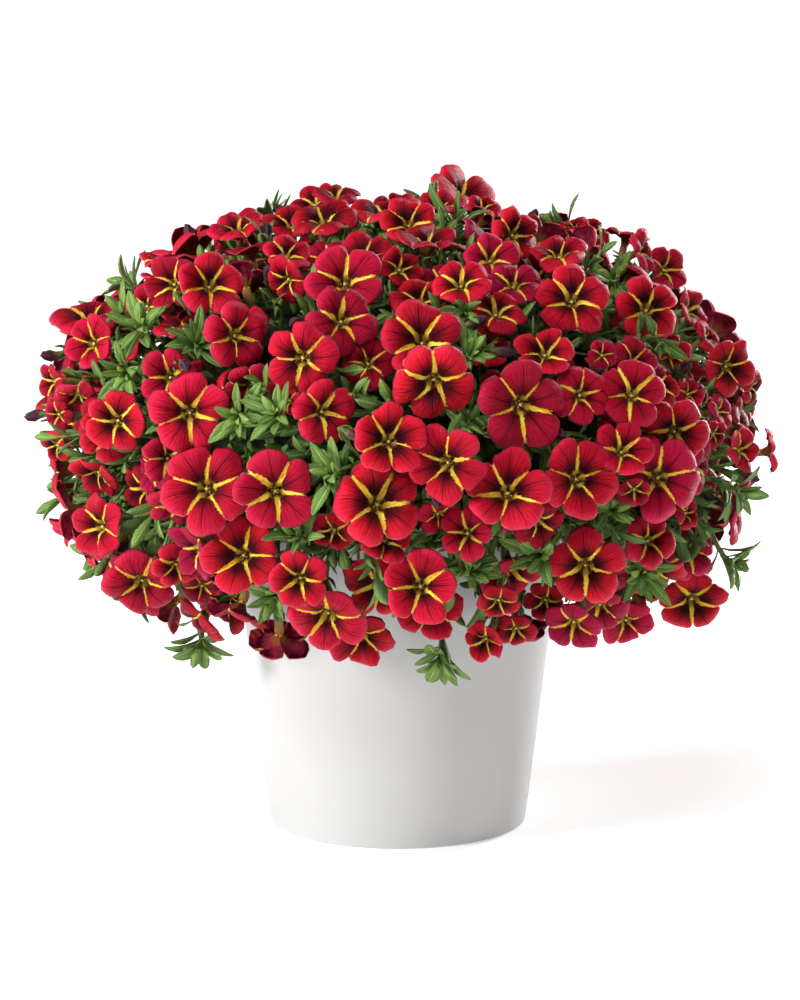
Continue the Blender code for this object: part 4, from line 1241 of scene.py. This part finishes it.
class Space:
    """The room that the blooms take, which the leaves keep off."""

    def __init__(self, blooms):
        self.tree = tree_of(blooms)
        self.centres = np.array([tuple(bloom.centre) for bloom in blooms])
        self.faces = np.array([tuple(bloom.face) for bloom in blooms])
        self.radii = np.array([bloom.radius for bloom in blooms])

    def holds(self, point):
        """Whether a point is inside one of the trumpets."""
        offset = np.array(point) - self.centres
        height = (offset * self.faces).sum(axis=1)
        depth = self.radii * 0.3 + 6 * MM
        aside = np.sqrt(np.maximum((offset ** 2).sum(axis=1) - height ** 2, 0))
        room = self.radii * (1 + np.minimum(height, 0) / depth)
        return bool(np.any((height > -depth) & (height < 0.1 * self.radii) & (aside < room)))

    def lets_through(self, path):
        """Whether a shoot along a path keeps off the blooms."""
        steps = [(before, after - before) for before, after in zip(path, path[1:])]
        return all(self.tree.ray_cast(start, way.normalized(), way.length)[0] is None for start, way in steps)

    def clear(self, root, along, above, length):
        """Whether a leaf keeps off the blooms."""
        side = along.cross(above) * length * 0.2
        middle = root + along * length * 0.55
        tip = root + along * length * 1.05 - above * length * 0.1
        start = root + along * 1.5 * MM
        blade = BVHTree.FromPolygons([start, middle + side, tip, middle - side], [(0, 1, 2), (0, 2, 3)])
        return not blade.overlap(self.tree) and not self.holds(middle)


def make_shoots(materials, space):
    """Leafy shoots all over the mound, which fill the plant beneath the blooms."""
    dice = random.Random(SEED + 3)
    piece = Piece("inner_shoots", materials)
    for number in range(INNER_SHOOTS):
        share = math.sqrt((number + 0.5) / INNER_SHOOTS)
        foot = mound_point(min(share * 1.02, 1.0), GOLDEN_TURN * number)
        out = dome_normal(foot)
        lean = scatter(dice) * 0.28
        if share > 0.9:
            lean.z -= dice.uniform(0.2, 1.0)
        axis = (out + lean).normalized()
        long = number % LONG_EVERY == LONG_EVERY // 2
        length = dice.uniform(*(LONG_SHOOT if long else SHORT_SHOOT))
        bend = scatter(dice) * 2.5 * MM
        tip = foot + axis * length
        path = bezier(foot - out * 3 * MM, foot + out * 4 * MM, foot + axis * length * 0.6 + bend, tip, 5)
        if not space.lets_through(path):
            continue
        add_tube(piece, path, SHOOT_RADII, 5, STALK)
        for leaf in range(INNER_LEAVES):
            up = 0.25 + 0.75 * leaf / (INNER_LEAVES - 1)
            way = splay(axis, number + leaf * LEAF_TURN, dice.uniform(0.95, 1.35) - 0.75 * up)
            root = foot.lerp(tip, up)
            grow_leaf(piece, dice, space, root, way, (9, 14), 0.31, SMALL_LEAF, 0.2 + 0.35 * up)
    return piece.make()


def skirt_path(number, dice):
    """A way from the mound's lower edge, out and down past the pot's lip."""
    angle = 2 * math.pi * (number + dice.uniform(-0.3, 0.3)) / SKIRT_SHOOTS
    foot = mound_point(dice.uniform(0.92, 1.0), angle, 2 * MM)
    inset = dice.uniform(8, 22) * MM
    height = dice.uniform(-50, -28) * MM
    radius = (DOME_RADIUS - inset) * math.sqrt(1 - (height / (DOME_DROP - inset * 0.5)) ** 2)
    tip = polar(radius, angle + dice.uniform(-0.15, 0.15), DOME_CENTRE + height)
    return bezier(foot, foot + polar(1, angle, 0) * 9 * MM, tip + Vector((0, 0, 14 * MM)), tip, SKIRT_STEPS)


def make_skirt(materials, space):
    """Shoots that hang from the mound's edge past the pot's lip, behind the lowest blooms."""
    dice = random.Random(SEED + 5)
    piece = Piece("skirt_shoots", materials)
    for number in range(SKIRT_SHOOTS):
        for _ in range(6):
            path = skirt_path(number, dice)
            if space.lets_through(path):
                break
        add_tube(piece, path, [(1.0 - 0.04 * step) * MM for step in range(SKIRT_STEPS + 1)], 5, STALK)
        for step in range(2, SKIRT_STEPS + 1):
            axis = (path[min(step + 1, SKIRT_STEPS)] - path[step - 1]).normalized()
            opening = (0.7, 1.25) if step < SKIRT_STEPS - 1 else (0.2, 0.6)
            way = splay(axis, number + step * LEAF_TURN, dice.uniform(*opening))
            young = 0.25 + 0.04 * step
            grow_leaf(piece, dice, space, path[step], way, (9, 14), (0.40, 0.62), ROUND_LEAF, young)
    return piece.make()


def dome_point(share, angle, inset):
    """A point of the dome of bloom faces, or of one inside it: share 0 on top, 1 at its bottom."""
    tilt = share * math.pi * 0.78
    rise = DOME_RISE if tilt < math.pi / 2 else DOME_DROP
    radius = (DOME_RADIUS - inset) * math.sin(tilt)
    return polar(radius, angle, DOME_CENTRE + (rise - inset) * math.cos(tilt))


def trumpet(bloom, sides=10):
    """Points and faces of a plain trumpet in the place of a bloom, to try what has room."""
    centre, face, radius = bloom.centre, bloom.face, bloom.radius
    points = [centre + face * radius * 0.05, centre - face * (radius * 0.3 + 6 * MM)]
    points += ring(centre, round_frame(face), radius * 1.03, sides)
    faces = [(0, 2 + side, 2 + (side + 1) % sides) for side in range(sides)]
    faces += [(1, 2 + (side + 1) % sides, 2 + side) for side in range(sides)]
    return points, faces


def tree_of(blooms):
    """One tree of the plain trumpets of several blooms."""
    points = []
    faces = []
    for bloom in blooms:
        new_points, new_faces = trumpet(bloom)
        faces += [[index + len(points) for index in corners] for corners in new_faces]
        points += new_points
    return BVHTree.FromPolygons(points, faces)


def make_inner_blooms(materials, ground, grown):
    """Smaller blooms a little inside the dome, where the outer ones leave a gap."""
    dice = random.Random(SEED + 4)
    taken = [tree_of(grown), ground]
    pieces = [Piece(f"inner_blooms_{number + 1}", materials) for number in range(INNER_PARTS)]
    count = 0
    for inset in INNER_INSETS:
        for number in range(INNER_TRIES):
            share = math.sqrt((number + 0.5) / INNER_TRIES)
            centre = dome_point(share, GOLDEN_TURN * number + inset * 900, inset)
            out = dome_normal(centre)
            face = (out + scatter(dice) * 0.35).normalized()
            radius = dice.uniform(*(INNER_RADII if share < FRINGE_SHARE else FRINGE_RADII))
            # inner blooms darker on the whole: painted shade deep in the dome, with some fading
            dark = dice.uniform(0.0, 0.6)
            kept = share < FRINGE_SHARE or dice.random() < FRINGE_KEPT
            hidden = any(tree.ray_cast(centre, out, INNER_VIEW)[0] is not None for tree in taken[:2])
            if hidden or not kept:
                continue
            foot = centre - out * (INNER_STALK - inset)
            if foot.z < MOUND_BOTTOM:
                foot = edge_foot(centre)
            bloom = SimpleNamespace(
                centre=centre, face=face, across=round_frame(face)[0], radius=radius, foot=foot, dark=dark
            )
            tree = BVHTree.FromPolygons(*trumpet(bloom))
            if any(tree.overlap(other) for other in taken):
                continue
            taken.append(tree)
            grown.append(bloom)
            add_bloom(pieces[count % INNER_PARTS], bloom, dice, PLAIN_COROLLA)
            count += 1
    return [piece.make() for piece in pieces]


def make_floor(material):
    """A pale floor that fills the picture behind the plant."""
    points = [(-6, -3, 0), (6, -3, 0), (6, 14, 0), (-6, 14, 0)]
    floor = put_in_scene("floor", new_mesh("floor", points, [(0, 1, 2, 3)], [material]))


def add_light(name, place, aim, size, power):
    light = bpy.data.lights.new(name, "AREA")
    light.shape = "RECTANGLE"
    light.size, light.size_y = size
    light.energy = power
    item = put_in_scene(name, light)
    item.location = place
    item.rotation_euler = (Vector(aim) - Vector(place)).to_track_quat("-Z", "Y").to_euler()


def light_scene():
    """Key from the left, a soft light above the front, a strip behind at the right, dim surroundings."""
    world = bpy.data.worlds.new("dim_room")
    bpy.context.scene.world = world
    world.use_nodes = True
    back = world.node_tree.nodes["Background"]
    back.inputs["Color"].default_value = (1, 1, 1, 1)
    back.inputs["Strength"].default_value = 0.10
    add_light("key_left", (-1.75, -0.8, 0.56), (0, 0, 0.12), (0.45, 0.6), 41)
    add_light("top_soft", (-0.45, -1.05, 1.75), (0, 0, 0.15), (1.3, 1.3), 32.5)
    add_light("strip_right", (0.78, 1.0, 0.4), (0, 0, 0.08), (0.2, 1.0), 25)


def add_camera():
    data = bpy.data.cameras.new("view")
    data.sensor_fit = "VERTICAL"
    data.sensor_height = SENSOR
    data.lens = LENS
    camera = put_in_scene("view", data)
    camera.location = (VIEW_ASIDE, -VIEW_DISTANCE, VIEW_HEIGHT)
    camera.rotation_euler = (math.radians(90 - VIEW_PITCH), 0, 0)
    bpy.context.scene.camera = camera


def set_down(item, node=None):
    """Puts a piece on the object's one body, and hides the CAD node it stands for where one is given."""
    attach(item, "root")
    if node is not None:
        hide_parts(node)


def main():
    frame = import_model()
    nodes = frame["nodes"]
    leaf = leaf_material()
    stalk = stalk_material()
    leafy = [leaf, stalk]
    spray_materials = [petal_material(), tube_material(), stalk, leaf, heart_material(), bud_material()]
    ground_points, _, ground_faces = welded(nodes["foliage"])
    ground = BVHTree.FromPolygons(ground_points, ground_faces)
    grown = []
    sprays = make_sprays(nodes, spray_materials, ground, grown)
    inner = make_inner_blooms(spray_materials, ground, grown)
    space = Space(grown)

    set_down(make_pot(pot_material()), "pot")
    set_down(make_soil(soil_material()), "soil")
    set_down(make_crumbs(crumb_material()))
    set_down(make_stems(nodes["crown_stems"], bark_material()), "crown_stems")
    set_down(make_mound(mound_material()), "foliage")
    set_down(make_tufts(nodes["foliage"], leafy, space))
    set_down(make_shoots(leafy, space))
    set_down(make_skirt(leafy, space))
    for item in inner:
        set_down(item)
    for item, name in sprays:
        set_down(item, name)
    make_floor(floor_material())
    light_scene()
    add_camera()
    settings = bpy.context.scene.view_settings
    settings.view_transform = "Standard"
    settings.look = "None"


main()
